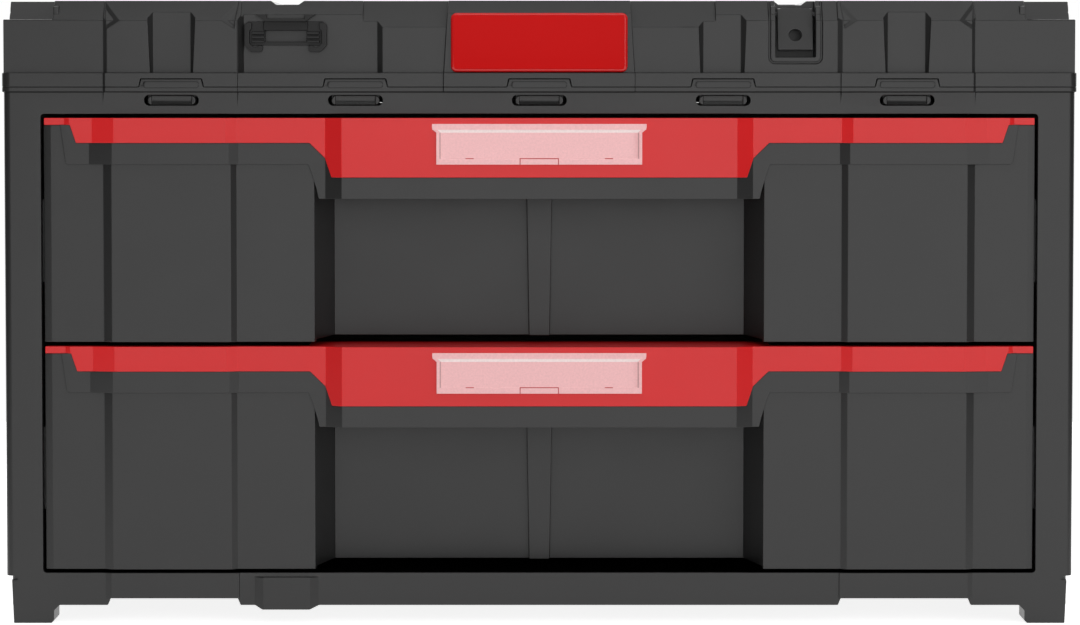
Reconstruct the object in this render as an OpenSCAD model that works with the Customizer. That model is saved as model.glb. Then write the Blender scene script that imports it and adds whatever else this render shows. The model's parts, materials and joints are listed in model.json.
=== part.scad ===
// Stackable tool box with two drawers.
// X runs left to right, Y from front to back, Z up; the origin is on the
// ground under the middle of the box. All sizes are in millimetres.

/* [Box] */
// Width over the rim flange
box_w = 585; // [565:1:605]
// Depth from the label windows to the back of the rim flange
box_d = 385; // [365:1:410]
// Height from the feet to the top of the lid
box_h = 340; // [325:1:365]
// Thickness of the moulded walls
wall = 3; // [2.4:0.1:3.4]
// How far the rim flange stands proud of the walls
flange_lip = 1; // [0.8:0.1:1.5]
// Radius of the upright corners
corner_r = 4; // [3:0.5:5]

/* [Front frame] */
// Width of the columns beside the drawers
column_w = 20.2; // [19.6:0.1:24]
// Height of the rail below the drawers
rail_h = 17.8; // [16:0.2:22]
// Height of the beam above the drawers
beam_h = 11.9; // [11:0.1:16]
// Height of the rim band on top of the walls
rim_h = 2.8; // [2:0.1:4]
// Distance from the skirt's lower edge to the underside of the floor
floor_lift = 4.1; // [3:0.1:6]
// Distance from the middle to the raised band on each side
band_in = 164; // [150:0.5:168]
// Width of each raised band
band_w = 73; // [60:0.5:80]
// How far the raised bands stand out of the frame
band_p = 1.4; // [0.8:0.1:2]

/* [Feet and base] */
// Height of the feet
foot_h = 9.9; // [8:0.1:11]
// Width of each foot
foot_w = 22; // [18:0.5:24]
// Length of each foot from front to back
foot_l = 26; // [20:0.5:32]
// How far the base is set in from the sides
base_inset = 3; // [2:0.1:3.5]
// Height at which the walls step out from the base
base_top = 26; // [24:0.5:30]
// Width of the stacking lug at the front
lug_w = 35; // [30:0.5:40]
// How far the lug stands out of the rail
lug_p = 3; // [2:0.1:4]

/* [Lid] */
// Height of the lid with its skirt
lid_h = 46.9; // [44:0.1:52]
// Height of the lid's skirt
skirt_h = 7.6; // [7:0.1:9]
// How far the lid's walls are set back from the frame
lid_set = 2; // [1.5:0.1:3]
// Drop of the sloping edge round the top of the lid
slope_h = 10.8; // [9:0.1:12]
// Further drop of that slope in the middle of the lid
slope_mid = 3.6; // [2:0.1:5]
// Depth of the upright grooves in the lid's face
groove_d = 3.2; // [2:0.1:3.6]
// How far the walls of those grooves slope sideways
groove_draft = 2.6; // [1:0.1:3]
// Length of the shallow channels over the catch and the lock
channel_l = 118; // [34:1:125]
// Half width of the raised panel for the badge
badge_panel_x = 52; // [51:0.5:56]
// How far the badge panel stands out of the lid's face
badge_panel_p = 2; // [1.5:0.1:2.5]
// Width of the badge
badge_w = 96; // [80:0.5:96]
// Height of the badge
badge_h = 32.2; // [26:0.2:32.6]
// Thickness of the badge at its crown
badge_t = 3.2; // [2.6:0.1:4]

/* [Snap clips] */
// Distance between the snap clips
clip_pitch = 100; // [98:0.5:101]
// Width of a clip window
clip_w = 29.6; // [26:0.2:31]
// Height of a clip window
clip_h = 5.7; // [5:0.1:6.5]

/* [Drawers] */
// Gap between the lower drawer and the rail
bottom_gap = 1.9; // [1.2:0.1:2.6]
// Gap between the upper drawer and the beam
top_gap = 2.2; // [1.5:0.1:3]
// Gap between the two drawer fronts
front_gap = 2.4; // [1.8:0.1:3.4]
// Gap beside a drawer front
side_gap = 1.4; // [1:0.1:2]
// How far the drawer fronts sit behind the frame
panel_set = 1.2; // [0.8:0.1:2]
// Thickness of the tray's walls and floor
tray_wall = 2.6; // [2:0.1:3]
// Height of the tray's sides
tray_h = 108; // [90:1:112]
// Free space between the tray and the back wall
back_room = 10.5; // [6:0.5:20]
// Depth of the finger recess
recess_d = 40; // [34:0.5:48]
// Half width of the finger recess at its back
recess_x = 113.6; // [100:0.2:116]
// How much the finger recess widens towards the front
recess_flare = 8.8; // [6:0.2:10]
// Width of the pillar in the middle of the recess
pillar_w = 13.8; // [10:0.2:18]
// How far the pillar stands out of the recess
pillar_p = 4.5; // [3:0.1:6]
// How far the raised bands stand out of the drawer fronts
panel_band_p = 2.7; // [2:0.1:3.2]

/* [Drawer handles] */
// How far the middle grip stands out of the drawer front
grip_p = 8; // [6.5:0.1:10]
// How far the wings of the red strip stand out of the drawer front
wing_p = 2.1; // [1.8:0.1:3]
// How far the grey edge lies behind the red strip
edge_step = 0.9; // [0.6:0.05:1.2]
// Height of the thin strip along the drawer's top edge
cap_h = 3.8; // [3:0.1:5]
// Height of the red strip on the wings
wing_red_h = 13.6; // [12:0.1:16]
// Height of the red strip in the middle
mid_red_h = 32.3; // [31:0.1:36]
// Height of the grey edge below the red strip
edge_h = 11.7; // [9:0.1:14]
// Wall thickness of the handle pieces
handle_t = 2; // [1.8:0.1:2.4]
// Width of the label window
window_w = 111.6; // [90:0.2:116]
// Height of the label window
window_h = 22; // [18:0.2:23]
// How far the label window stands out of the grip
window_t = 1.7; // [1.4:0.1:2.4]

/* [Drawer slides] */
// Thickness of a slide from the frame to the tray
slide_t = 12.7; // [12.7:0.1:13.5]
// Height of the fixed member of a slide
slide_h = 45; // [42:0.5:46]
// Length of a slide
slide_l = 345; // [300:5:350]
// Thickness of the slides' steel
slide_steel = 1.2; // [1:0.1:1.4]
// Height of the slides' middle above the drawer's lower edge
slide_z = 55; // [40:1:80]
// Diameter of the slides' screws
screw_d = 4; // [3:0.5:4.5]

/* [Carry handle] */
// Width over the carry handle's arms
bail_w = 216; // [180:1:224]
// Distance from the pivot to the middle of the grip
bail_reach = 66; // [56:1:72]
// Diameter of the grip
grip_d = 21; // [16:0.5:22]
// Diameter of the carry handle's pivot pins
bail_pin_d = 8; // [6:0.5:9]
// Depth of the well that the carry handle folds into
well_d = 26; // [24:0.5:30]

/* [Side latches] */
// Width of a side latch
latch_w = 56; // [40:1:64]
// Length of a side latch from its pin to its tip
latch_l = 37; // [30:0.5:42]
// Diameter of a side latch's pin
latch_pin_d = 4; // [3:0.5:4]

/* [Lock and catch] */
// Distance from the middle to the lock lever
lock_x = 139.4; // [134:0.2:142]
// Width of the lock lever
lock_w = 18.9; // [16:0.1:20]
// Diameter of the padlock hole
lock_hole_d = 7.2; // [6:0.1:8]
// Distance from the middle to the stacking catch
catch_x = 138; // [137:0.5:139]
// Width of the stacking catch
catch_w = 44.8; // [42:0.2:45]

/* [Hidden] */
$fn = 48;
running_gap = 0.05; // radial clearance of a pin in its hole
seat_gap = 0.3;     // clearance of a part that rests on another without pressing on it
over = 1;           // how far a cut runs past the face it opens
body_grey = [0.27, 0.27, 0.28];
front_grey = [0.30, 0.30, 0.31];
handle_red = [0.80, 0.16, 0.16];
badge_red = [0.75, 0.10, 0.09];
steel_grey = [0.70, 0.71, 0.73];

// Planes across the width
flange_x = box_w / 2;
body_x = flange_x - flange_lip;
base_x = body_x - base_inset;
bay_x = body_x - column_w;
front_x = bay_x - side_gap;
tray_x = bay_x - slide_t;
band_out = band_in + band_w;
// Planes from front to back
window_y = -box_d / 2;
grip_y = window_y + window_t;
panel_y = grip_y + grip_p;
wing_y = panel_y - wing_p;
face_y = panel_y - panel_set;
flange_y = face_y - flange_lip;
flange_back = box_d / 2 - band_p;
back_y = flange_back - flange_lip;
bay_back = back_y - wall;
lid_y = face_y + lid_set;
lid_back = back_y - lid_set;
mid_y = (face_y + back_y) / 2;
recess_y = panel_y + recess_d;
tray_back = bay_back - back_room;
slab_t = 4; // thickness of a drawer front
// Levels
floor_z = foot_h + floor_lift + wall;
rail_top = foot_h + rail_h;
lid_z = box_h - lid_h;
rim_z = lid_z - rim_h;
bay_top = rim_z - beam_h;
skirt_z = lid_z + skirt_h;
slope_z = box_h - slope_h;
front_h = (bay_top - rail_top - bottom_gap - top_gap - front_gap) / 2;
drawer_pitch = front_h + front_gap;
drawer_z = rail_top + bottom_gap;
drawer_top = drawer_z + front_h;
cap_z = drawer_top - cap_h;
tray_z = drawer_z + 1.5;

// ---- helpers -------------------------------------------------------------

// A block between two corners
module block(low, high) translate(low) cube(high - low);

// An outline of [y, z] points carried from x0 to x1
module along_x(x0, x1, points)
    translate([x0, 0, 0]) rotate([90, 0, 90]) linear_extrude(x1 - x0) polygon(points);

// An outline of [x, z] points, or a 2D child, carried from y0 to y1
module along_y(y0, y1, points = [])
    translate([0, y1, 0]) rotate([90, 0, 0]) linear_extrude(y1 - y0) {
        if (len(points) > 0) polygon(points);
        else children();
    }

// An outline of [x, y] points carried from z0 to z1
module along_z(z0, z1, points)
    translate([0, 0, z0]) linear_extrude(z1 - z0) polygon(points);

module rod_x(x0, x1, y, z, r)
    translate([x0, y, z]) rotate([0, 90, 0]) cylinder(r = r, h = x1 - x0);

module rod_y(y0, y1, x, z, r)
    translate([x, y1, z]) rotate([90, 0, 0]) cylinder(r = r, h = y1 - y0);

// The same thing on the left and on the right
module both_sides() { children(); mirror([1, 0, 0]) children(); }

// The same thing at the front and, turned, at the back of the box
module front_and_back() {
    children();
    translate([0, mid_y, 0]) mirror([0, 1, 0]) translate([0, -mid_y, 0]) children();
}

// Half an outline of [x, y] points, completed with its mirror image in x
function mirrored(points) = concat(points,
    [for (i = [len(points) - 1:-1:0]) [-points[i][0], points[i][1]]]);

// A rectangle about a point with rounded corners
module round_rect(x, z, w, h, r) translate([x, z]) {
    square([w - 2 * r, h], center = true);
    square([w, h - 2 * r], center = true);
    for (i = [-1, 1], j = [-1, 1]) translate([i * (w / 2 - r), j * (h / 2 - r)]) circle(r = r);
}

// An upright block with rounded corners
module round_block(x, y0, y1, z0, z1, r)
    translate([0, (y0 + y1) / 2, z0]) linear_extrude(z1 - z0) round_rect(0, 0, 2 * x, y1 - y0, r);

// How far the frame and the lid stand out at a distance from the middle
function proud(x) = abs(x) < badge_panel_x ? badge_panel_p
    : abs(x) > band_in && abs(x) < band_out ? band_p : 0;

clip_places = [for (i = [-2:2]) i * clip_pitch];

// ---- frame and lid ---------------------------------------------------------

foot_x1 = base_x - 1;         // outer side of a foot at the ground
foot_x0 = foot_x1 - foot_w;   // inner side of a foot
band_rail_lift = 3.8;         // how much higher the rail ends in the bands
lug_top = base_top - 0.5;
lug_low = foot_h - 2.2;

// Foot under a front corner, tapered on its outer side
module foot()
    along_y(face_y, face_y + foot_l, [[foot_x0, 1.5], [foot_x0 + 1.5, 0], [foot_x1, 0],
        [base_x, rail_top - 4], [foot_x0 - 3, rail_top - 4], [foot_x0 - 3, foot_h], [foot_x0, foot_h - 3]]);

// Raised bands on the rail and the wedges that fade out below the rim
module frame_bands() both_sides() {
    along_z(foot_h + band_rail_lift, rail_top, [[band_in, face_y - over / 2], [band_in, face_y + wall],
        [band_out, face_y + wall], [band_out, face_y], [band_out - 3, face_y - band_p],
        [band_in, face_y - band_p]]);
    along_x(band_in, band_out, [[face_y + wall, rim_z], [face_y - band_p, rim_z],
        [face_y, rim_z - 8], [face_y + wall, rim_z - 8]]);
}

// Lug that drops into the catch of the box below
module stacking_lug()
    translate([-catch_x, 0, 0]) intersection() {
        along_z(lug_low, lug_top, [[-lug_w / 2, face_y + wall], [-lug_w / 2, face_y],
            [-lug_w / 2 + 4.5, face_y - lug_p], [lug_w / 2 - 5, face_y - lug_p],
            [lug_w / 2, face_y], [lug_w / 2, face_y + wall]]);
        along_y(face_y - lug_p - over, face_y + wall, [[-lug_w / 2 + 4, lug_low],
            [lug_w / 2 - 5, lug_low], [lug_w / 2, lug_low + 2.2], [lug_w / 2, lug_top],
            [-lug_w / 2, lug_top], [-lug_w / 2, lug_low + 2.2]]);
    }

// Tongues of the rim that show through the notches of the lid's skirt
module rim_tongues(gap = 0)
    for (x = clip_places) translate([x, 0, 0]) {
        along_y(flange_y - proud(x) - (gap > 0 ? over : 0), lid_y,
            [[-17.6 - gap, lid_z - (gap > 0 ? over : 0)], [17.6 + gap, lid_z - (gap > 0 ? over : 0)],
             [16.4 + gap, lid_z + 4.2 + gap], [-16.4 - gap, lid_z + 4.2 + gap]]);
        if (gap == 0) along_y(flange_y - proud(x) - 0.6, lid_y)
            round_rect(0, lid_z + 1.15, clip_w, 2.9, 1.4);
    }

// Rim band on top of the walls, raised in the bands and under the badge
module rim_ring(z0, z1) {
    round_block(flange_x, flange_y, flange_back, z0, z1, corner_r + flange_lip);
    front_and_back() both_sides() along_z(z0, z1, [[band_in, flange_y + wall], [band_in, flange_y - band_p],
        [band_out - 1, flange_y - band_p], [band_out, flange_y], [band_out, flange_y + wall]]);
    block([-badge_panel_x, flange_y - badge_panel_p, z0], [badge_panel_x, flange_y + wall, z1]);
}

latch_pin_x = base_x - 2.5;       // axis of the side latches
latch_pin_z = foot_h + 6.1;
latch_barrel_r = latch_pin_d / 2 + 1.4;
latch_well_x = latch_pin_x - latch_barrel_r - 3;
latch_well_top = latch_pin_z + latch_l + 13;
latch_half = latch_w / 2;

// Housing of a side latch inside the hollow side, and the well it leaves
module latch_housing()
    block([latch_well_x - wall, mid_y - latch_half - 2 - wall, foot_h],
        [base_x, mid_y + latch_half + 2 + wall, latch_well_top + wall]);
module latch_well()
    block([latch_well_x, mid_y - latch_half - 2, foot_h - over],
        [body_x + over, mid_y + latch_half + 2, latch_well_top]);

slide_y0 = face_y + 9;  // front end of the slides
screw_places = [slide_y0 + 25, slide_y0 + slide_l / 3, slide_y0 + slide_l - 25];
boss_l = 8;  // length of the screw bosses behind the bay's walls
slide_levels = [for (n = [0, 1]) drawer_z + slide_z + n * drawer_pitch];

module carcass() color(body_grey) difference() {
    union() {
        difference() {
            union() {
                round_block(body_x, face_y, back_y, base_top, lid_z, corner_r);
                round_block(base_x, face_y, back_y, foot_h, base_top, corner_r);
                rim_ring(rim_z, lid_z);
            }
            // bay for the drawers, open at the front and closed by the lid
            block([-bay_x, face_y + wall, floor_z], [bay_x, bay_back, lid_z + over]);
            along_y(face_y - over, face_y + wall + over)
                round_rect(0, (rail_top + bay_top) / 2, 2 * bay_x, bay_top - rail_top, 2);
            // hollow sides
            both_sides() {
                block([bay_x + wall, face_y + wall, floor_z], [base_x - wall, bay_back, lid_z + over]);
                block([bay_x + wall, face_y + wall, base_top + wall], [body_x - wall, bay_back, lid_z + over]);
            }
            // space under the floor
            block([-base_x + wall, face_y + wall, foot_h - over],
                [base_x - wall, bay_back, floor_z - wall]);
            // the rail ends higher in the bands
            both_sides() along_y(face_y - over, face_y + wall,
                [[band_in - 1, foot_h - over], [band_in + 1, foot_h + band_rail_lift],
                 [band_out - 2.5, foot_h + band_rail_lift], [band_out - 0.5, foot_h - over]]);
        }
        frame_bands();
        stacking_lug();
        rim_tongues();
        front_and_back() both_sides() foot();
        both_sides() {
            latch_housing();
            for (z = slide_levels, y = screw_places) rod_x(bay_x + wall / 2, bay_x + wall + boss_l, y, z, 5);
        }
    }
    front_and_back() for (x = clip_places) translate([x, 0, 0])
        along_y(face_y - badge_panel_p - over, face_y + wall + over)
            round_rect(0, rim_z - 4.5, clip_w, clip_h, clip_h / 2 - 0.1);
    both_sides() {
        latch_well();
        rod_y(mid_y - latch_half - 2 - wall - over, mid_y + latch_half + 2 + wall + over,
            latch_pin_x, latch_pin_z, latch_pin_d / 2 + running_gap);
        for (z = slide_levels, y = screw_places)
            rod_x(bay_x - over, bay_x + wall + boss_l - 1, y, z, screw_d / 2);
    }
}

lid_edge_y = lid_y + 30;          // inner end of the lid's edge parts
// Face and slope of the lid: out is how far the face stands out
function lid_profile(out, drop) = [[lid_edge_y, skirt_z], [lid_y - out, skirt_z],
    [lid_y - out, slope_z - drop], [lid_y - out + slope_h + drop, box_h], [lid_edge_y, box_h]];

pocket_x = foot_x0 - 0.9;         // inner side of the pockets for the feet
pocket_z = box_h - foot_h - 0.4;
pocket_l = foot_l + 1;
slope_mid_x = 96;                 // half width of the deeper slope
band_end = 1.7;                   // how far the ends of the lid's bands slope

// A raised band of the lid with its folded upper corners
module lid_band() {
    difference() {
        intersection() {
            along_x(band_in - band_end, band_out, lid_profile(band_p, 0));
            along_z(skirt_z, box_h, [[band_in - band_end, lid_edge_y], [band_in - band_end, lid_y],
                [band_in + band_end / 2, lid_y - band_p], [band_out - band_end, lid_y - band_p],
                [band_out, lid_y], [band_out, lid_edge_y]]);
        }
        for (side = [0, 1]) translate([side * (band_in + band_out), 0, 0]) mirror([side, 0, 0])
            fold_cut([band_in - over, lid_y - band_p - over, slope_z]);
    }
}

// Corner that a raised band's fold takes away: a four-sided pyramid cut
module fold_cut(corner) {
    top = [band_in, lid_y - band_p + slope_h, box_h];
    side = [band_in + 9, lid_y - band_p, slope_z];
    low = [band_in + band_end, lid_y - band_p, slope_z - 4.8];
    away = [0, -4, 4];
    polyhedron(points = [top, side, low, top + away, side + away, low + away, corner],
        faces = [[0, 1, 2], [3, 5, 4], [0, 3, 4, 1], [1, 4, 5, 2], [0, 2, 5, 3]], convexity = 2);
}

// Upright grooves: [middle, half width at the top, half width at the bottom]
grooves = [[band_in + 36, 13.4, 11.5], [-(band_in + 36), 13.4, 11.5], [99.6, 13.4, 11.8]];
groove_floor = 10.3;              // half width of a groove's floor
cut_y = lid_y - 10;               // where the cuts into the lid's face begin

// Plan of a groove between two edges of its floor, with walls that slope outwards
function groove_plan(x0, x1, y) = [[x0, y + groove_d], [x1, y + groove_d], [x1 + groove_draft, y],
    [x1 + groove_draft, cut_y], [x0 - groove_draft, cut_y], [x0 - groove_draft, y]];

well_x = bail_w / 2 + 5;          // half width of the carry handle's well
bail_y = mid_y + bail_reach / 2;  // pivot of the carry handle
grip_collar = 0.8;                // how far the grip's end collars stand out
bail_z = box_h - well_d + grip_d / 2 + grip_collar + seat_gap;
well_front = bail_y - bail_reach - grip_d / 2 - 20;
well_back = bail_y + 16;

lock_y = lid_y + 12.7;            // pivot of the lock lever
lock_z = box_h - 7.5;
lock_pin_r = 1.5;
lock_pocket_z = skirt_z + 8.5;
lock_well_w = lock_w + 3.1;
lock_depth = 20;
lock_line_in = 2.5;               // the line round the lock's pocket: its inner edge,
lock_line_out = 3.7;              // its outer edge
lock_line_d = 1.4;                // and its depth

catch_y = lid_y + groove_d;       // face of the recess behind the catch
catch_z = skirt_z + 11.4;         // lower edge of the catch's hooks
catch_window_x = 11.3;            // half width of the window in the catch
catch_window_z = catch_z + 5.4;   // its lower edge
catch_window_h = 6.2;
catch_window_d = 5;

catch_end = 9;                    // how far the catch's recess runs into the deeper slope

channel_places = [-catch_x + 0.6, lock_x - 2];
channel_x = 9;                    // half width of a channel in the top
channel_d = 2.2;                  // its depth

hook_w = 26;                      // width of a snap hook
hook_r = 2.2;                     // radius of its rounded ends
scoop_r = 3.6;                    // radius of the scoop between them
// Snap hooks that hang behind the frame and reach into the clip windows
module snap_hooks() front_and_back() for (x = clip_places) translate([x, 0, 0]) {
    block([-hook_w / 2, face_y + wall + 0.3, rim_z - 7], [hook_w / 2, face_y + wall + 2.6, lid_z + 1]);
    difference() {
        along_y(face_y + 0.8, face_y + wall + 1) round_rect(0, rim_z - 4.5, hook_w, clip_h - 1, hook_r);
        // scooped between its rounded ends
        rod_x(-hook_w / 2 + hook_r, hook_w / 2 - hook_r, face_y - 1.4, rim_z - 4, scoop_r);
    }
}

module top_cover() color(body_grey) difference() {
    union() {
        difference() {
            union() {
                rim_ring(lid_z, skirt_z);
                round_block(body_x, lid_y + 28, lid_back - 28, skirt_z, box_h, corner_r);
                front_and_back() {
                    both_sides() {
                        along_x(slope_mid_x, body_x, lid_profile(0, 0));
                        lid_band();
                    }
                    along_x(-slope_mid_x, slope_mid_x, lid_profile(0, slope_mid));
                }
                intersection() {
                    along_x(-badge_panel_x, badge_panel_x, lid_profile(badge_panel_p, -4));
                    along_y(lid_y - 5, lid_y + 30, [[-badge_panel_x, skirt_z], [badge_panel_x, skirt_z],
                        [badge_panel_x - 2.5, box_h], [-badge_panel_x + 2.5, box_h]]);
                }
            }
            // hollow inside
            front_and_back() along_x(-body_x + wall, body_x - wall, [[lid_y + groove_d + wall, lid_z - over],
                [lid_y + groove_d + wall, slope_z - 6], [lid_y + groove_d + wall + slope_h + 1, box_h - wall],
                [mid_y + over, box_h - wall], [mid_y + over, lid_z - over]]);
        }
        // bottom and walls of the well and of the pockets
        block([-well_x - wall, well_front - wall, box_h - well_d - wall],
            [well_x + wall, well_back + wall, box_h - wall]);
        front_and_back() both_sides() block([pocket_x - wall, lid_y + groove_d, pocket_z - wall],
            [body_x - wall / 2, lid_y + pocket_l + 12 + wall, box_h - wall]);
        // housings of the catch's window, of the ways for the latches above and of the lock lever
        catch_window(2);
        both_sides() block([latch_well_x - wall / 2, mid_y - latch_half - 4 - wall, skirt_z - 1],
            [body_x - wall / 2, mid_y + latch_half + 4 + wall, box_h - wall]);
        block([lock_x - lock_well_w / 2 - wall, lid_y + groove_d, skirt_z],
            [lock_x + lock_well_w / 2 + wall, lid_y + lock_depth + wall, box_h - wall]);
        // the top is thicker under the channels
        for (x = channel_places) block([x - channel_x - 2, lid_y + slope_h + wall, box_h - wall - channel_d],
            [x + channel_x + 2, lid_y + channel_l + wall, box_h - wall]);
        snap_hooks();
    }
    // upright grooves and the wide recess round the catch
    for (g = grooves) intersection() {
        along_y(cut_y, lid_y + groove_d, [[g[0] - g[2], skirt_z], [g[0] + g[2], skirt_z],
            [g[0] + g[1], box_h + over], [g[0] - g[1], box_h + over]]);
        along_z(skirt_z, box_h + over, groove_plan(g[0] - groove_floor, g[0] + groove_floor, lid_y));
    }
    along_z(skirt_z, box_h + over,
        groove_plan(-catch_x - catch_w / 2 - 0.4, -slope_mid_x + catch_end - 1, lid_y));
    catch_window(0);
    lock_outline();
    rim_tongues(0.3);
    // well of the carry handle and bores of its pins
    block([-well_x, well_front, box_h - well_d], [well_x, well_back, box_h + over]);
    both_sides() rod_x(well_x - over, well_x + wall + over, bail_y, bail_z, bail_pin_d / 2);
    // pockets for the feet of the box above
    front_and_back() both_sides() along_x(pocket_x, body_x + over, [[lid_y - over, pocket_z],
        [lid_y + pocket_l, pocket_z], [lid_y + pocket_l + 8, box_h + over], [lid_y - over, box_h + over]]);
    // pocket of the lock lever with its pin's bore
    block([lock_x - lock_well_w / 2, cut_y, lock_pocket_z],
        [lock_x + lock_well_w / 2, lid_y + lock_depth, box_h + over]);
    rod_x(lock_x - lock_well_w / 2 - 2, lock_x + lock_well_w / 2 + 2, lock_y, lock_z, lock_pin_r);
    // shallow channels in the top above the catch and the lock
    for (x = channel_places) along_y(lid_y - over, lid_y + channel_l,
        [[x - channel_x, box_h], [x - channel_x + 3, box_h - channel_d],
         [x + channel_x - 3, box_h - channel_d], [x + channel_x, box_h],
         [x + channel_x, box_h + over], [x - channel_x, box_h + over]]);
    // ways for the latches of the box above, with a ledge left standing
    both_sides() difference() {
        block([latch_well_x + 2, mid_y - latch_half - 3, skirt_z + 2],
            [flange_x + over, mid_y + latch_half + 3, box_h + over]);
        block([latch_well_x, mid_y - latch_half - 4, box_h - 26],
            [latch_pin_x - 1, mid_y + latch_half + 4, box_h - 20]);
    }
}

// Narrow groove round the lock's pocket, open at the top
module lock_outline() difference() {
    along_y(lid_y - over, lid_y + slope_h + over) difference() {
        lock_frame(lock_line_out);
        lock_frame(lock_line_in);
    }
    along_x(lock_x - lock_well_w, lock_x + lock_well_w, lid_profile(-lock_line_d, 0));
}

// Outline that stands a margin outside the lock's pocket and runs off the top
module lock_frame(margin)
    round_rect(lock_x, lock_pocket_z - margin + box_h / 2, lock_well_w + 2 * margin, box_h, margin);

crown_r = 150; // radius of the badge's crown
module badge_plate() color(badge_red) intersection() {
    along_y(lid_y - badge_panel_p - badge_t, lid_y - badge_panel_p)
        round_rect(0, skirt_z + 0.3 + badge_h / 2, badge_w, badge_h, 3);
    translate([-badge_w / 2, lid_y - badge_panel_p - badge_t + crown_r, skirt_z + badge_h / 2])
        rotate([0, 90, 0]) cylinder(r = crown_r, h = badge_w, $fn = 720);
}

// Space of the catch's window, grown by a wall's thickness for its housing
module catch_window(skin)
    block([-catch_x - catch_window_x - skin, catch_y - 5 + 2.5 * skin, catch_window_z - skin],
        [-catch_x + catch_window_x + skin, catch_y + catch_window_d + skin,
         catch_window_z + catch_window_h + skin]);

// One of the two facing hooks of the catch, as an outline of [x, z] points
module catch_hook() along_y(catch_y - 3.6, catch_y, [
    [-catch_w / 2, catch_z + 3.4], [-catch_w / 2, catch_z + 14.5], [-catch_w / 2 + 1.5, catch_z + 16],
    [-catch_w / 2 + 4, catch_z + 16], [-catch_w / 2 + 4, catch_z + 12.5], [-catch_w / 2 + 2.8, catch_z + 11.5],
    [-catch_w / 2 + 2.8, catch_z + 4.6], [-catch_w / 2 + 5, catch_z + 2.6], [-catch_w / 2 + 7, catch_z + 2.6],
    [-catch_w / 2 + 8, catch_z + 3.6], [-catch_w / 2 + 9.9, catch_z + 3.2], [-catch_w / 2 + 9.9, catch_z + 1],
    [-catch_w / 2 + 9, catch_z], [-catch_w / 2 + 3.4, catch_z]]);

module stacking_catch() color(body_grey) translate([-catch_x, 0, 0]) {
    both_sides() {
        catch_hook();
        // sprung fingers
        for (i = [0:2]) block([-catch_w / 2 + 4, catch_y - 3.2, catch_z + 5 + i * 2.3],
            [-11.5, catch_y, catch_z + 6.3 + i * 2.3]);
    }
    difference() {
        block([-catch_w / 2 + 2, catch_y - 0.8, catch_z + 3.4], [catch_w / 2 - 2, catch_y, catch_z + 16.5]);
        translate([catch_x, 0, 0]) catch_window(0);
    }
    // sloping band over the window and the lip above it
    along_x(-12, 12, [[catch_y, catch_z + 11.8], [catch_y - 3.4, catch_z + 11.8], [catch_y - 2.4, catch_z + 16.6],
        [catch_y, catch_z + 16.6]]);
    difference() {
        along_y(catch_y - 4.2, catch_y, [[-16.5, catch_z + 20.4], [-11, catch_z + 16.6], [11, catch_z + 16.6],
            [16.5, catch_z + 20.4]]);
        along_y(catch_y - 5, catch_y + 1) round_rect(0, catch_z + 19.4, 21, 2.6, 1.2);
    }
}

lever_t = 3;                      // thickness of the lock lever
lever_l = 22;                     // from its pivot to its lower edge
lever_tilt = 19.6;                // how far the lever leans back
lever_front = 5;                  // from the pivot to the lever's face
// Puts a piece drawn upright about the origin on the lever's pivot, leaning
module on_lever() translate([lock_x, lock_y, lock_z]) rotate([-lever_tilt, 0, 0]) children();

// Lever that locks onto the box above, hung on its pin at the top
module lock_lever() color(front_grey) on_lever() difference() {
    union() {
        rod_x(-lock_w / 2, lock_w / 2, 0, 0, 3.4);
        along_y(-lever_front, lever_t - lever_front) round_rect(0, (2 - lever_l) / 2, lock_w, lever_l + 2, 2.6);
        along_y(-lever_front, 3 - lever_front) round_rect(0, 1 - lever_l / 2 - 4, lock_w, lever_l - 6, 0.6);
    }
    rod_x(-lock_w, lock_w, 0, 0, lock_pin_r + running_gap);
    rod_y(-lever_front - over, 10, 0, -13.7, lock_hole_d / 2);
    // room for the spring on the pin
    block([-3.6, -2.9, -2.9], [3.6, 8, 6]);
}

module lock_pin() color(steel_grey)
    rod_x(lock_x - lock_well_w / 2 - 1.8, lock_x + lock_well_w / 2 + 1.8, lock_y, lock_z, lock_pin_r);

spring_wire = 0.7;
spring_turns = 4;
// A point of the spring's wire: turns about the pin while it moves along it
function spring_point(t) = let (a = 360 * spring_turns * t, r = lock_pin_r + seat_gap + spring_wire / 2)
    [lock_x - 2.4 + 4.8 * t, lock_y + r * cos(a), lock_z + r * sin(a)];
function ring(centre, along, sides) = let (
    u = cross(along, [1, 0, 0]) / norm(cross(along, [1, 0, 0])), v = cross(along, u) / norm(along))
    [for (k = [0:sides - 1]) centre + spring_wire / 2 * (cos(360 * k / sides) * u + sin(360 * k / sides) * v)];
// Torsion spring wound on the lever's pin
module lock_spring() color(steel_grey) {
    steps = 18 * spring_turns;
    sides = 5;
    rings = [for (i = [0:steps]) ring(spring_point(i / steps),
        spring_point((i + 0.5) / steps) - spring_point((i - 0.5) / steps), sides)];
    polyhedron(points = [for (r = rings, p = r) p], faces = concat(
        [[for (k = [0:sides - 1]) k]],
        [for (i = [0:steps - 1], k = [0:sides - 1]) let (a = i * sides + k, b = i * sides + (k + 1) % sides)
            [a, a + sides, b + sides, b]],
        [[for (k = [sides - 1:-1:0]) steps * sides + k]]), convexity = 6);
}

// ---- carry handle ----------------------------------------------------------

arm_t = 12;                       // thickness of the carry handle's arms
bail_x = bail_w / 2;
grip_l = bail_w - 2 * arm_t - 16;

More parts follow.
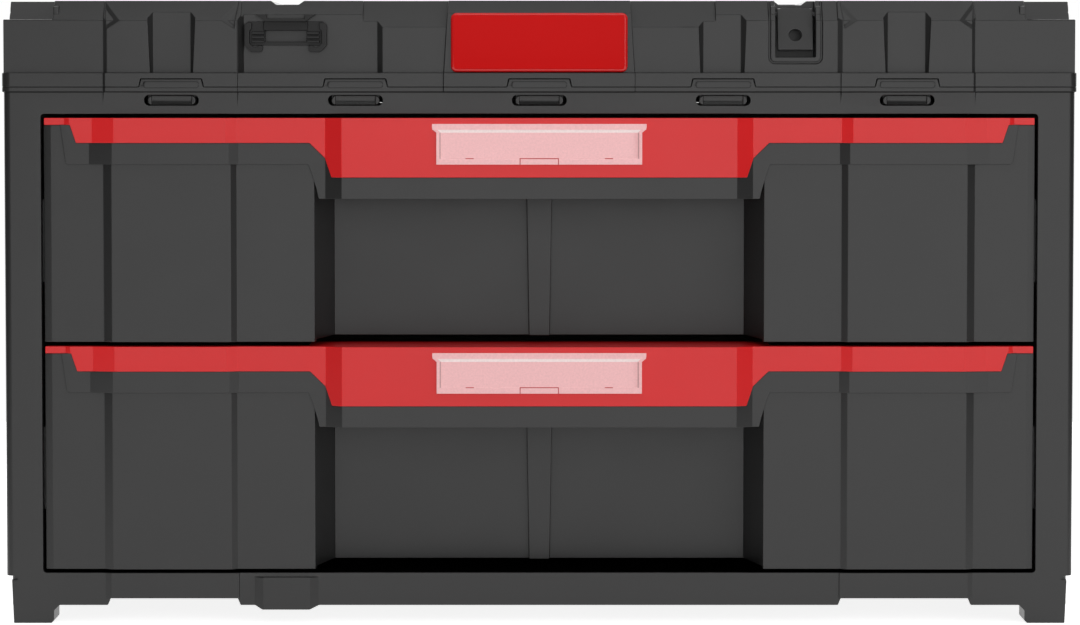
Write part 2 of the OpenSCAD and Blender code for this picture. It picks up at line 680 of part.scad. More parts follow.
module carry_handle() color(body_grey) difference() {
    union() {
        both_sides() {
            rod_x(bail_x - arm_t, bail_x, bail_y, bail_z, 9);
            rod_x(bail_x - arm_t, bail_x, bail_y - bail_reach, bail_z, grip_d / 2);
            block([bail_x - arm_t, bail_y - bail_reach, bail_z - 8], [bail_x, bail_y, bail_z + 8]);
        }
        rod_x(-bail_x + arm_t / 2, bail_x - arm_t / 2, bail_y - bail_reach, bail_z, grip_d / 2 - 3);
    }
    both_sides() rod_x(bail_x - arm_t - over, bail_x + over, bail_y, bail_z, bail_pin_d / 2 + running_gap);
}

module carry_grip() color([0.12, 0.12, 0.12]) difference() {
    union() {
        rod_x(-grip_l / 2, grip_l / 2, bail_y - bail_reach, bail_z, grip_d / 2);
        for (i = [-1, 1]) rod_x(i * (grip_l / 2 - 3) - 3, i * (grip_l / 2 - 3) + 3,
            bail_y - bail_reach, bail_z, grip_d / 2 + grip_collar);
    }
    rod_x(-grip_l, grip_l, bail_y - bail_reach, bail_z, grip_d / 2 - 3);
}

module carry_pins() color(steel_grey) both_sides()
    rod_x(bail_x - arm_t - 2, well_x + wall, bail_y, bail_z, bail_pin_d / 2);

// ---- side latches ----------------------------------------------------------

latch_t = 3;
// Latch folded up in its well; its tip is the finger grip and the hook
module latch() color(body_grey) difference() {
    union() {
        rod_y(mid_y - latch_half, mid_y + latch_half, latch_pin_x, latch_pin_z, latch_barrel_r);
        along_y(mid_y - latch_half, mid_y + latch_half, [
            [latch_pin_x - latch_barrel_r, latch_pin_z], [latch_pin_x - latch_barrel_r + latch_t + 1, latch_pin_z],
            [latch_pin_x - 0.4, latch_pin_z + 6], [latch_pin_x - 0.4, latch_pin_z + latch_l - 6],
            [latch_pin_x + 2.6, latch_pin_z + latch_l - 3.5], [latch_pin_x + 2.6, latch_pin_z + latch_l],
            [latch_pin_x - latch_barrel_r, latch_pin_z + latch_l]]);
    }
    rod_y(mid_y - latch_half - over, mid_y + latch_half + over, latch_pin_x, latch_pin_z,
        latch_pin_d / 2 + running_gap);
}

module latch_pin() color(steel_grey)
    rod_y(mid_y - latch_half - 2 - wall, mid_y + latch_half + 2 + wall, latch_pin_x, latch_pin_z,
        latch_pin_d / 2);

// ---- drawer slides ---------------------------------------------------------
// A slide's cross-section is measured from the bay's wall: s is the distance
// from the wall and h the height from the slide's middle.

race = 3.8;                       // room for the balls between two members
h_fixed = slide_h / 2;
h_mid = h_fixed - slide_steel - race;
h_inner = h_mid - slide_steel - race;

// A channel: its web at s0, its flanges from s0 to s1 with lips turned in
function channel(s0, s1, h, lip) = let (t = slide_steel, d = s1 > s0 ? 1 : -1)
    [[s0, -h], [s1, -h], [s1, -h + lip], [s1 - d * t, -h + lip], [s1 - d * t, -h + t], [s0 + d * t, -h + t],
     [s0 + d * t, h - t], [s1 - d * t, h - t], [s1 - d * t, h - lip], [s1, h - lip], [s1, h], [s0, h]];

// A slide member of a drawer on the right; level 0 is the lower drawer
module slide_member(level, outline, y0, y1) color(steel_grey)
    along_y(y0, y1, [for (p = outline) [bay_x - p[0], slide_levels[level] + p[1]]]);

module cabinet_rail(level) difference() {
    slide_member(level, channel(0, 9.5, h_fixed, 3.2), slide_y0, slide_y0 + slide_l);
    for (y = screw_places) rod_x(bay_x - 2, bay_x + over, y, slide_levels[level], screw_d / 2);
}
module mid_rail(level)
    slide_member(level, channel(2.8, 10.6, h_mid, 3), slide_y0 + 4, slide_y0 + slide_l - 6);
module drawer_rail(level) difference() {
    slide_member(level, channel(slide_t, 5.4, h_inner, slide_steel), slide_y0 + 1, slide_y0 + slide_l - 4);
    for (y = screw_places) rod_x(tray_x - over, tray_x + slide_steel + over, y, slide_levels[level], screw_d / 2);
}

ball_gap = 0.1;                   // clearance of a ball on each side
ball_r = race / 2 - ball_gap;
ball_pitch = 26;
balls = 6;                        // in a row
row_l = balls * ball_pitch - 6;   // length of a row's strip
// A row of balls in its strip: s and h are the place of the row
module ball_row(s, h, y0) {
    block([s - ball_r, y0, h - 0.4], [s + ball_r, y0 + row_l, h + 0.4]);
    for (i = [0:balls - 1]) translate([s, y0 + 10 + i * ball_pitch, h]) sphere(r = ball_r, $fn = 24);
}
// Ball rows of a slide, which travel with its middle member: the outer pair
// runs in the fixed member and the inner pair carries the drawer's member
module ball_cages(level) color(steel_grey)
    translate([bay_x, 0, slide_levels[level]]) mirror([1, 0, 0]) for (side = [-1, 1]) {
        ball_row(6.2, side * (h_fixed - slide_steel - race / 2), slide_y0 + slide_l - row_l - 8);
        ball_row(7.4, side * (h_mid - slide_steel - race / 2), slide_y0 + 6);
    }

// Screws through the fixed members into the bosses of the frame
module cabinet_rail_screws() color(steel_grey) both_sides() for (z = slide_levels, y = screw_places) {
    rod_x(bay_x - slide_steel, bay_x + wall + boss_l - 1.5, y, z, screw_d / 2);
    rod_x(bay_x - slide_steel - 1, bay_x - slide_steel, y, z, screw_d / 2 + 1.6);
}

// Screws through the drawer's members into the tray
module drawer_screws(level) color(steel_grey) both_sides() for (y = screw_places) {
    rod_x(tray_x - tray_wall, tray_x + slide_steel, y, slide_levels[level], screw_d / 2);
    rod_x(tray_x + slide_steel, tray_x + slide_steel + 1.6, y, slide_levels[level], screw_d / 2 + 1.6);
}

// ---- drawers ---------------------------------------------------------------
// Each drawer is drawn as the lower one and lifted to its level.

module at_level(level) translate([0, 0, level * drawer_pitch]) children();

band_x0 = band_in + 0.8;          // foot and crest of the band's slopes
band_x1 = band_in + 4;
band_x2 = band_out - 4.1;
band_x3 = band_out + 0.3;

// Plan of a drawer's front surface, from the recess to the side
front_plan = [[recess_x, recess_y], [recess_x + recess_flare, panel_y], [band_x0, panel_y],
    [band_x1, panel_y - panel_band_p], [band_x2, panel_y - panel_band_p], [band_x3, panel_y],
    [front_x - 4, panel_y], [front_x, panel_y + 0.8]];

module tray(level) at_level(level) color(front_grey) difference() {
    union() {
        along_z(tray_z, cap_z, mirrored(concat([[0, recess_y]], front_plan,
            [[front_x, panel_y + slab_t], [tray_x, panel_y + slab_t], [tray_x, tray_back], [0, tray_back]])));
        // the front reaches a little lower than the floor
        both_sides() along_z(drawer_z, tray_z, concat([[recess_x + recess_flare - 0.6, panel_y + slab_t]],
            [for (i = [1:7]) front_plan[i]], [[front_x, panel_y + slab_t]]));
        // pillar in the recess, narrower at its foot
        along_y(recess_y - pillar_p, recess_y, [[-pillar_w / 2 + 1.3, tray_z], [pillar_w / 2 - 1.3, tray_z],
            [pillar_w / 2, cap_z - 40], [-pillar_w / 2, cap_z - 40]]);
    }
    // inside
    along_z(tray_z + tray_wall, cap_z + over, mirrored([[0, recess_y + tray_wall],
        [recess_x + tray_wall, recess_y + tray_wall],
        [recess_x + recess_flare + tray_wall, panel_y + tray_wall], [tray_x - tray_wall, panel_y + tray_wall],
        [tray_x - tray_wall, tray_back - tray_wall], [0, tray_back - tray_wall]]));
    // the sides and the back end lower than the front
    block([-front_x, recess_y + tray_wall + 3, tray_z + tray_h], [front_x, tray_back + over, cap_z + over]);
    both_sides() block([recess_x + recess_flare + 6, panel_y + 11, tray_z + tray_h],
        [front_x, recess_y + tray_wall + 4, cap_z + over]);
    for (y = screw_places) both_sides()
        rod_x(tray_x - tray_wall - over, tray_x + over, y, slide_levels[0], screw_d / 2);
}

// Outlines of the handle seen from the front, right half, from the top down
red_outline = [[0, drawer_top - mid_red_h], [recess_x - 0.6, drawer_top - mid_red_h],
    [recess_x + 3, drawer_top - mid_red_h + 10.5], [recess_x + 11.4, drawer_top - wing_red_h],
    [front_x - 17.9, drawer_top - wing_red_h], [front_x - 14.6, cap_z], [front_x - 14.6, drawer_top],
    [0, drawer_top]];
edge_outline = [[0, drawer_top - mid_red_h - edge_h], [recess_x + 6.4, drawer_top - mid_red_h - edge_h],
    [recess_x + 7.6, drawer_top - mid_red_h - edge_h + 5], [recess_x + 10.6, drawer_top - wing_red_h - edge_h - 4],
    [recess_x + 12.2, drawer_top - wing_red_h - edge_h], [front_x - 13, drawer_top - wing_red_h - edge_h],
    [front_x - 12, drawer_top - wing_red_h - edge_h + 1.5], [front_x - 9.2, cap_z], [0, cap_z]];

slope_x0 = recess_x - 6.2;        // where the middle grip starts to fall back
slope_x1 = recess_x + 2.8;        // where it reaches the wings
// Plan of the handle's front: step is how far it lies behind the red strip,
// spread how much wider the raised band is there
function handle_plan(step, spread) = [[0, grip_y + step], [slope_x0, grip_y + step], [slope_x1, wing_y + step],
    [band_in + 0.6 - spread, wing_y + step], [band_in + 6.6 - 1.6 * spread, wing_y - panel_band_p + step],
    [band_out - 5.6 + spread, wing_y - panel_band_p + step], [band_out + 6.3 + 1.7 * spread, wing_y + step],
    [front_x - 8, wing_y + step]];
// The drawer's own front surface, as seen by the pieces that lie on it
panel_plan = [[front_x - 8, panel_y], [band_x3, panel_y], [band_x2, panel_y - panel_band_p],
    [band_x1, panel_y - panel_band_p], [band_x0, panel_y], [slope_x1 + 1, panel_y]];

// Red strip: the front skin, and the cap over the drawer's top edge
module red_strip() {
    intersection() {
        along_z(drawer_z, drawer_top, mirrored(concat(handle_plan(0, 0), panel_plan,
            [[slope_x0 + 1, grip_y + handle_t], [0, grip_y + handle_t]])));
        along_y(grip_y - over, panel_y + over, mirrored(red_outline));
    }
    along_z(cap_z, drawer_top, mirrored(concat([for (i = [0:6]) handle_plan(0, 0)[i]],
        [[front_x - 14, wing_y], [front_x - 11.5, panel_y - 0.6], [front_x - 0.4, panel_y - 0.6],
         [front_x - 0.4, panel_y + 10.8], [recess_x + recess_flare + 4, panel_y + 10.8],
         [recess_x + recess_flare + 4, recess_y + tray_wall], [0, recess_y + tray_wall]])));
}

module handle_cover(level) at_level(level) color(handle_red) red_strip();

// Grey piece behind the red strip: its edge shows below the strip, and its
// shelf bridges the finger recess
grip_back = grip_y + 2 * handle_t;
module handle_bracket(level) at_level(level) color(front_grey) difference() {
    union() {
        intersection() {
            along_z(drawer_z, cap_z, mirrored(concat(handle_plan(edge_step, 1), panel_plan,
                [[slope_x0 + 2, grip_back], [0, grip_back]])));
            along_y(grip_y - over, panel_y + over, mirrored(edge_outline));
        }
        along_z(cap_z - tray_wall, cap_z, mirrored([[0, grip_back - 0.6], [slope_x0 + 1.4, grip_back - 0.6],
            [slope_x1 + 0.4, panel_y - 0.6], [recess_x + recess_flare, panel_y], [recess_x, recess_y],
            [0, recess_y]]));
    }
    red_strip();
}

window_top = drawer_top - 3.2;
window_x = window_w / 2;
card_x = window_x - 2.4;
card_z0 = window_top - window_h + 2.2;
card_z1 = window_top - 5.4;

// Clear window with a wider lip along its top, clipped over the card
module label_window(level) at_level(level) color([0.95, 0.75, 0.75, 0.5]) difference() {
    along_y(window_y, grip_y, mirrored([[0, window_top - window_h], [window_x, window_top - window_h],
        [window_x, window_top - 4.4], [window_x + 2.4, window_top - 3.4], [window_x + 2.4, window_top],
        [0, window_top]]));
    block([-card_x, grip_y - 0.5, card_z0], [card_x, grip_y + over, card_z1]);
}

module label_card(level) at_level(level) color([0.93, 0.86, 0.86])
    block([-card_x + 0.3, grip_y - 0.42, card_z0 + 0.3], [card_x - 0.3, grip_y, card_z1 - 0.3]);

// ---- the pieces ------------------------------------------------------------

carcass();
top_cover();
badge_plate();
stacking_catch();
lock_lever();
lock_pin();
lock_spring();
carry_handle();
carry_grip();
carry_pins();
mirror([1, 0, 0]) latch();  // left_latch
latch();  // right_latch
mirror([1, 0, 0]) latch_pin();  // left_latch_pin
latch_pin();  // right_latch_pin
mirror([1, 0, 0]) cabinet_rail(1);  // upper_left_cabinet_rail
cabinet_rail(1);  // upper_right_cabinet_rail
mirror([1, 0, 0]) cabinet_rail(0);  // lower_left_cabinet_rail
cabinet_rail(0);  // lower_right_cabinet_rail
mirror([1, 0, 0]) mid_rail(1);  // upper_left_mid_rail
mid_rail(1);  // upper_right_mid_rail
mirror([1, 0, 0]) mid_rail(0);  // lower_left_mid_rail
mid_rail(0);  // lower_right_mid_rail
mirror([1, 0, 0]) ball_cages(1);  // upper_left_ball_cages
ball_cages(1);  // upper_right_ball_cages
mirror([1, 0, 0]) ball_cages(0);  // lower_left_ball_cages
ball_cages(0);  // lower_right_ball_cages
mirror([1, 0, 0]) drawer_rail(1);  // upper_left_drawer_rail
drawer_rail(1);  // upper_right_drawer_rail
mirror([1, 0, 0]) drawer_rail(0);  // lower_left_drawer_rail
drawer_rail(0);  // lower_right_drawer_rail
cabinet_rail_screws();
drawer_screws(1);  // upper_drawer_screws
drawer_screws(0);  // lower_drawer_screws
tray(1);  // upper_tray
handle_bracket(1);  // upper_handle_bracket
handle_cover(1);  // upper_handle_cover
label_window(1);  // upper_label_window
label_card(1);  // upper_label_card
tray(0);  // lower_tray
handle_bracket(0);  // lower_handle_bracket
handle_cover(0);  // lower_handle_cover
label_window(0);  // lower_label_window
label_card(0);  // lower_label_card
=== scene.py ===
"""Looks of a stackable tool box with two drawers, built round its fixed frame.

The file is laid out as an add-on and run as a script: each operator dresses one
group of pieces, and the panel in the sidebar lists them. Pieces take their places
from the frame's nodes. Lengths are in metres: X to the right, Y to the back, Z up.
"""

import json
import math

import bmesh
import bpy
import numpy as np
from bpy.props import FloatProperty, FloatVectorProperty, IntProperty, PointerProperty
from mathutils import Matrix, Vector
from mathutils.bvhtree import BVHTree

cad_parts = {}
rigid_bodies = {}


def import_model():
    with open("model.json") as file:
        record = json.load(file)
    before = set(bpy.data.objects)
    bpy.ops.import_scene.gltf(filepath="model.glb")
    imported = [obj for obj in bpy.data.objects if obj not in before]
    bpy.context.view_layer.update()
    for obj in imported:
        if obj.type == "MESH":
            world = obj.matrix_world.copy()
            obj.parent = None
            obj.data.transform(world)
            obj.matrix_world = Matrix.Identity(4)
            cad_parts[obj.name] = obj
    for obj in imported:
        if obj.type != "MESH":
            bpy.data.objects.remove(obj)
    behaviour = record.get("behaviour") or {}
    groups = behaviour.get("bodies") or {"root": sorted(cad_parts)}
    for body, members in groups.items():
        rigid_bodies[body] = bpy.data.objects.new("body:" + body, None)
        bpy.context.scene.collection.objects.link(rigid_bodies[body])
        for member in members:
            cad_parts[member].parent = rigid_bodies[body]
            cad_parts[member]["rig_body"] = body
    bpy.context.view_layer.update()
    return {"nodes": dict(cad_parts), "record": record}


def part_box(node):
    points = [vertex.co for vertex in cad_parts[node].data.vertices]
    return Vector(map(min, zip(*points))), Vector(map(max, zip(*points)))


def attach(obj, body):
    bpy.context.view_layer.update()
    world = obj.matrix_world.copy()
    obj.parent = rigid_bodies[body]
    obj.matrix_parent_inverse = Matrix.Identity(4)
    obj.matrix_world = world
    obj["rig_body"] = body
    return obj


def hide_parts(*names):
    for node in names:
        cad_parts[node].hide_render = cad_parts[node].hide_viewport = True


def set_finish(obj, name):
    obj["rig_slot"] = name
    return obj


bl_info = {
    "name": "Stackable tool box",
    "version": (1, 0, 0),
    "blender": (4, 5, 0),
    "location": "3D View > Sidebar > Tool Box",
    "description": "Dresses the tool box's frame with rounded mouldings, fittings and materials",
    "category": "Object",
}

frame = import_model()
NODES = frame["nodes"]
SLOT_OF = {row["node"]: row["material_slot"] for row in frame["record"]["subparts"]}
LEVELS = ("lower", "upper")

# Places and sizes that no node's box gives, in metres if nothing else is said
FACE_Y = -0.184  # front of the carcass's frame
GRIP_BORE = 0.0075  # radius of the hole through the soft grip
GRIP_COLLAR = 0.006  # length of the plain collar at each end of the grip
RIM_SEAM = (0.2900, 0.2966)  # heights between which the seam of lid and rim lies
BOX_MIDDLE = (0, 0, 0.17)  # where the lamps point
FLOOR_X = (-0.9, 0.9)  # left and right edge of the table top
FLOOR_Y = (-2.7, 1.2)  # front and back edge of the table top
SENSOR = 36.0  # width of the camera's sensor, in millimetres

# Small forms of the label window, in metres
PANE_DEPTH = 0.00035  # how far the pane lies behind the frame
PANE_SIDE_EDGE = 0.0007  # width of the slope at the pane's sides
PANE_SIDE_MARK = 0.00029  # from the middle of that slope to the points at its ends
PANE_FOOT_EDGE = 0.0005  # height of the slope at the pane's foot
GROOVE_DEPTH = 0.001
GROOVE_EDGE = 0.00012  # width of the steep sides of a groove
LIP_DEPTH = 0.0009  # how far the lip lies behind the frame
LIP_TAPER = 0.0009  # height over which the lip's ends run in to the pane's width
LIP_TAPER_DROP = 0.0003  # how far below the lip's edge the middle of that taper lies
FOOT_MARK = 0.0001  # from the window's foot to its lowest row of points

# Bends in degrees: above the first an edge of a moulding is rounded, and above the
# others an edge of a finished piece stays sharp
ROUNDED_BEND = 10.5
SHARP_BEND = 40
WINDOW_SHARP_BEND = 30

# Parts of a face's normal along an axis, which tell how the face lies
TURNED = 0.2  # from here on a face of a window is turned that way
SQUARE = 0.9  # from here on a face of a window is square to the axis
BADGE_FRONT = 0.985  # forwards, from here on a face belongs to the badge's matt front
# The next two pick the rounded edges along the seam under the lid, which are coloured dark as painted
# shade
SEAM_SHADE_LEVEL = (0.3, 0.97)  # sideways, between these a face neither lies flat nor is upright
SEAM_SHADE_LEAN = 0.08  # up or down, from here on a rounded edge runs level and isn't upright

# Each lamp's name, the property of the stage with its radiance, its width and height in
# metres, the degrees it stands to the right of the front and above the level, and its
# distance from the box's middle in metres
LAMPS = (
    ("front_lamp", "front", (3.2, 2.0), 14, 8, 2.7),
    ("top_lamp", "top", (2.4, 1.6), 10, 72, 2.2),
    ("side_lamp_left", "side", (1.2, 1.5), -130, 24, 2.5),
    ("side_lamp_right", "side", (1.2, 1.5), 130, 24, 2.5),
    ("back_lamp", "side", (2.0, 1.5), 180, 24, 2.8),
)


def place(node):
    """Lowest and highest corner of a node as two numpy rows."""
    low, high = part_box(node)
    return np.array(low), np.array(high)


# ---- sizes and colours -------------------------------------------------------


def number(name, words, value, **limits):
    """A plain number property."""
    return FloatProperty(name=name, description=words, default=value, **limits)


def share(name, words, value):
    """A number property from 0 to 1."""
    return number(name, words, value, min=0, max=1)


def colour(name, words, value):
    """A colour property, written in linear light."""
    return FloatVectorProperty(
        name=name, description=words, subtype="COLOR", size=3, min=0, max=1, default=value
    )


def length(name, words, value):
    """A length property, in metres."""
    return FloatProperty(
        name=name, description=words, unit="LENGTH", subtype="DISTANCE", default=value, precision=5
    )


class ToolBoxFinish(bpy.types.PropertyGroup):
    """Colours and grain of the mouldings."""

    body: colour("Body", "Colour of the carcass and the lid", (0.0210, 0.0210, 0.0210))
    drawer: colour("Drawers", "Colour of the drawer fronts", (0.0210, 0.0210, 0.0210))
    # Painted light: the fittings are coloured about twice as light as the body, so that the lock lever
    # sunk in its slot looks lit, not shaded; the latches share this colour
    fitting: colour("Fittings", "Colour of latches and lever", (0.0450, 0.0450, 0.0450))
    # Painted shade: the catch is coloured darker than the other fittings, standing in for the shade of
    # the gaps round it
    catch: colour("Catch", "Colour of the stacking catch", (0.0120, 0.0120, 0.0120))
    # Painted shade: a dark colour on the rounded edges along the seam under the lid, standing in for
    # the shade of the gap there
    seam: colour("Seam", "Colour of the shaded seam under the lid", (0.0120, 0.0120, 0.0120))
    handle: colour("Handles", "Colour of the red strips", (0.665, 0.010, 0.012))
    badge: colour("Badge", "Colour of the badge", (0.560, 0.005, 0.005))
    window: colour("Window", "Tint of the clear label windows", (1.000, 0.550, 0.560))
    card: colour("Card", "Colour of the label cards", (0.900, 0.420, 0.420))
    slide: colour("Slides", "Colour of the black-coated slides", (0.020, 0.020, 0.021))
    steel: colour("Steel", "Colour of the zinc-plated screws and pins", (0.560, 0.570, 0.590))
    rubber: colour("Rubber", "Colour of the soft grip", (0.014, 0.014, 0.015))
    # Painted highlight: a lighter tint for the up-facing chamfer under each window's lip, where light
    # from above falls
    chamfer: colour("Window chamfer", "Tint of the windows' bright chamfer", (1.0, 0.82, 0.80))
    # Painted shade: a darker tint for the windows' side steps, which turn away from the light
    step: colour("Window step", "Tint of the windows' shaded side steps", (0.66, 0.38, 0.38))
    grain: number("Grain", "Cells of moulded grain per metre", 1500.0, min=100.0)
    grain_depth: length("Grain depth", "Depth of the moulded grain", 0.000015)
    roughness: share("Roughness", "Roughness of the moulded plastic", 0.32)
    gloss: share("Gloss", "Specular level of the moulded plastic", 0.38)
    # Low specular level of that painted seam shade
    seam_shade_gloss: share("Seam gloss", "Specular level of the shaded seam", 0.1)
    # Low specular level that goes with the catch's painted shade
    catch_shade_gloss: share("Catch gloss", "Specular level of the stacking catch", 0.2)
    rim_gloss: share("Rim gloss", "Specular level of the badge's polished rim", 0.5)
    film: share("Film", "Specular level of the badge's matt film", 0.05)
    cover: share("Cover", "How much the label windows hide", 0.92)


class ToolBoxSizes(bpy.types.PropertyGroup):
    """Sizes of the small forms that finish the mouldings."""

    edge: length("Edge radius", "Radius of a moulded outer edge", 0.00040)
    fine_edge: length("Fine edge radius", "Radius of an edge on a small fitting", 0.00025)
    grip_rib: length("Grip rib", "Height of the ribs round the soft grip", 0.0005)
    ribs: IntProperty(name="Ribs", description="Ribs round the soft grip", default=26, min=4)
    badge_rim: length("Badge rim", "Radius of the badge's full rim", 0.0020)
    badge_crown: length("Badge crown", "Radius of the badge's crown", 0.150)
    badge_corner: length("Badge corner", "Radius of the badge's corners", 0.0032)
    window_lip: length("Window lip", "Height of the label window's lip", 0.0032)
    window_lip_side: length("Lip overhang", "How far the lip stands out at each side", 0.0024)
    window_frame: length("Window frame", "Width of the frame at the window's sides", 0.0020)
    window_foot: length("Window foot", "Height of the frame at the window's foot", 0.0032)
    window_chamfer: length("Window chamfer", "Height of the chamfer under the lip", 0.0016)
    window_line: length("Groove width", "Width of the groove round the window's tab", 0.0004)
    window_tab: length("Window tab", "Half the width of the tab at the window's foot", 0.0104)
    window_slot: length("Window slot", "Width of a slot beside the tab", 0.0046)
    window_slot_place: length("Slot place", "From the window's middle to a slot's middle", 0.0378)


class ToolBoxStage(bpy.types.PropertyGroup):
    """Camera and lamps."""

    aside: length("Camera aside", "From the box's middle plane to the lens", 0.0004)
    distance: length("Camera distance", "From the lens to the frame's front face", 2.3)
    height: length("Camera height", "Height of the lens above the ground", 0.294)
    pitch: FloatProperty(
        name="Pitch",
        description="How far the camera looks down",
        unit="ROTATION",
        default=math.radians(3.08),
    )
    lens: number("Lens", "Focal length in millimetres", 140.83)
    front: number("Front lamp", "Radiance of the front lamp", 1.72)
    top: number("Top lamp", "Radiance of the lamp overhead", 1.4)
    side: number("Side lamps", "Radiance of the side and back lamps", 1.5)
    sky: number("Sky", "Strength of the even light", 0.38)
    floor_white: number("Floor", "How far the floor glows where it is seen directly", 0.85)


# ---- materials ---------------------------------------------------------------


class Graph:
    """A shader tree under construction: nodes are added and linked by name."""

    def __init__(self, tree):
        self.tree = tree

    def add(self, kind, **values):
        """A node with its sockets set by name; a socket given as a value is linked."""
        node = self.tree.nodes.new(kind)
        for key, value in values.items():
            socket = key.replace("_", " ")
            if isinstance(value, bpy.types.NodeSocket):
                self.tree.links.new(value, node.inputs[socket])
            elif socket in node.inputs:
                node.inputs[socket].default_value = value
            else:
                setattr(node, key, value)
        return node

    def spread(self, value, low, high, start=0.0, end=1.0):
        """A value from start to end, stretched to run from low to high."""
        made = self.add("ShaderNodeMapRange", Value=value)
        for socket, limit in zip(("From Min", "From Max", "To Min", "To Max"), (start, end, low, high)):
            made.inputs[socket].default_value = limit
        return made.outputs["Result"]

    def larger(self, one, other):
        """The larger of two values."""
        made = self.add("ShaderNodeMath", operation="MAXIMUM")
        self.tree.links.new(one, made.inputs[0])
        self.tree.links.new(other, made.inputs[1])
        return made.outputs[0]

    def times(self, value, factor):
        """A value multiplied by a number."""
        made = self.add("ShaderNodeMath", operation="MULTIPLY")
        self.tree.links.new(value, made.inputs[0])
        made.inputs[1].default_value = factor
        return made.outputs[0]


class Finish(Graph):
    """A material under construction, laid out on the piece's own coordinates."""

    def __init__(self, name):
        self.material = bpy.data.materials.new(name)
        self.material.use_nodes = True
        super().__init__(self.material.node_tree)
        self.shader = self.tree.nodes["Principled BSDF"]
        self.where = self.add("ShaderNodeTexCoord").outputs["Object"]

    def noise(self, scale, detail=2.0, roughness=0.55):
        """Noise on the piece's own coordinates, from 0 to 1."""
        made = self.add(
            "ShaderNodeTexNoise", Vector=self.where, Scale=scale, Detail=detail, Roughness=roughness
        )
        return made.outputs["Fac"]

    def vary(self, noise, low, high):
        """Noise, which lies from 0.3 to 0.7 for the most part, made to run from low to high."""
        return self.spread(noise, low, high, 0.3, 0.7)

    def streaks(self, squeeze, scale, detail):
        """Noise drawn out along the axis whose coordinate is squeezed most."""
        drawn = self.add("ShaderNodeMapping", Vector=self.where, Scale=squeeze).outputs["Vector"]
        return self.add("ShaderNodeTexNoise", Vector=drawn, Scale=scale, Detail=detail).outputs["Fac"]

    def cells(self, scale):
        """Distance from the middles of scattered cells."""
        return self.add("ShaderNodeTexVoronoi", Vector=self.where, Scale=scale).outputs["Distance"]

    def tone(self, rgb, factor):
        """A colour made lighter and darker by a factor about 1."""
        made = self.add("ShaderNodeVectorMath", operation="SCALE")
        made.inputs[0].default_value = rgb
        self.tree.links.new(factor, made.inputs["Scale"])
        return made.outputs["Vector"]

    def to(self, socket, value):
        """Links or sets a socket of the surface shader."""
        if isinstance(value, bpy.types.NodeSocket):
            self.tree.links.new(value, self.shader.inputs[socket])
        else:
            self.shader.inputs[socket].default_value = value

    def bump(self, height, depth):
        """Grain whose height map, from 0 to 1, stands for that depth in metres."""
        made = self.add("ShaderNodeBump", Height=height, Strength=1.0, Distance=depth)
        self.to("Normal", made.outputs["Normal"])


def grained_plastic(name, rgb, shine=0.0, wear=0.03, gloss=None):
    """Spark-eroded matt plastic: fine grain, faint flow marks and handling shine.

    The shine takes that much off the roughness, and the flow marks are lighter and
    darker by the share of wear. The specular level is the mouldings' if none is given.
    """
    finish = bpy.context.scene.tool_box_finish
    made = Finish(name)
    flow = made.vary(made.noise(7.0, 3.0), 1 - wear, 1 + wear)
    made.to("Base Color", made.tone(rgb, flow))
    rough = finish.roughness - shine
    made.to("Roughness", made.vary(made.noise(38.0, 4.0), rough - 0.02, rough + 0.02))
    made.to("Specular IOR Level", finish.gloss if gloss is None else gloss)
    made.bump(made.noise(finish.grain, 2.0, 0.6), finish.grain_depth)
    return made.material


def clear_plastic(name, rgb):
    """Clear tinted plastic: thin, so it is see-through by its alpha."""
    made = Finish(name)
    made.to("Base Color", made.tone(rgb, made.vary(made.noise(900.0, 3.0), 0.94, 1.04)))
    made.to("Roughness", made.spread(made.noise(60.0), 0.12, 0.2))
    made.to("Alpha", bpy.context.scene.tool_box_finish.cover)
    made.bump(made.noise(420.0, 2.0), 0.00002)
    return made.material


def paper(name, rgb):
    """Matt card with fibres that run across it."""
    made = Finish(name)
    fibres = made.streaks((0.35, 1.0, 1.0), 900.0, 4.0)
    made.to("Base Color", made.tone(rgb, made.vary(fibres, 0.93, 1.05)))
    made.to("Roughness", 0.85)
    made.bump(fibres, 0.00003)
    return made.material


def plated_steel(name, rgb):
    """Zinc-plated strip steel, drawn along Y, with faint spangle."""
    made = Finish(name)
    lines = made.streaks((1.0, 0.03, 1.0), 1600.0, 3.0)
    made.to("Base Color", made.tone(rgb, made.spread(made.cells(190.0), 0.9, 1.05)))
    made.to("Metallic", 1.0)
    made.to("Roughness", made.vary(lines, 0.26, 0.44))
    made.bump(lines, 0.00001)
    return made.material


def coated_steel(name, rgb):
    """Strip steel with a thin black coat: a satin skin with faint runs along Y."""
    made = Finish(name)
    runs = made.streaks((1.0, 0.05, 1.0), 420.0, 3.0)
    made.to("Base Color", made.tone(rgb, made.vary(runs, 0.8, 1.25)))
    made.to("Roughness", made.vary(runs, 0.34, 0.48))
    made.bump(runs, 0.00001)
    return made.material


def soft_rubber(name, rgb):
    """Matt rubber with a close pebble."""
    made = Finish(name)
    made.to("Base Color", made.tone(rgb, made.vary(made.noise(22.0, 3.0), 0.85, 1.15)))
    made.to("Roughness", made.vary(made.noise(90.0), 0.66, 0.8))
    made.bump(made.cells(1300.0), 0.00006)
    return made.material


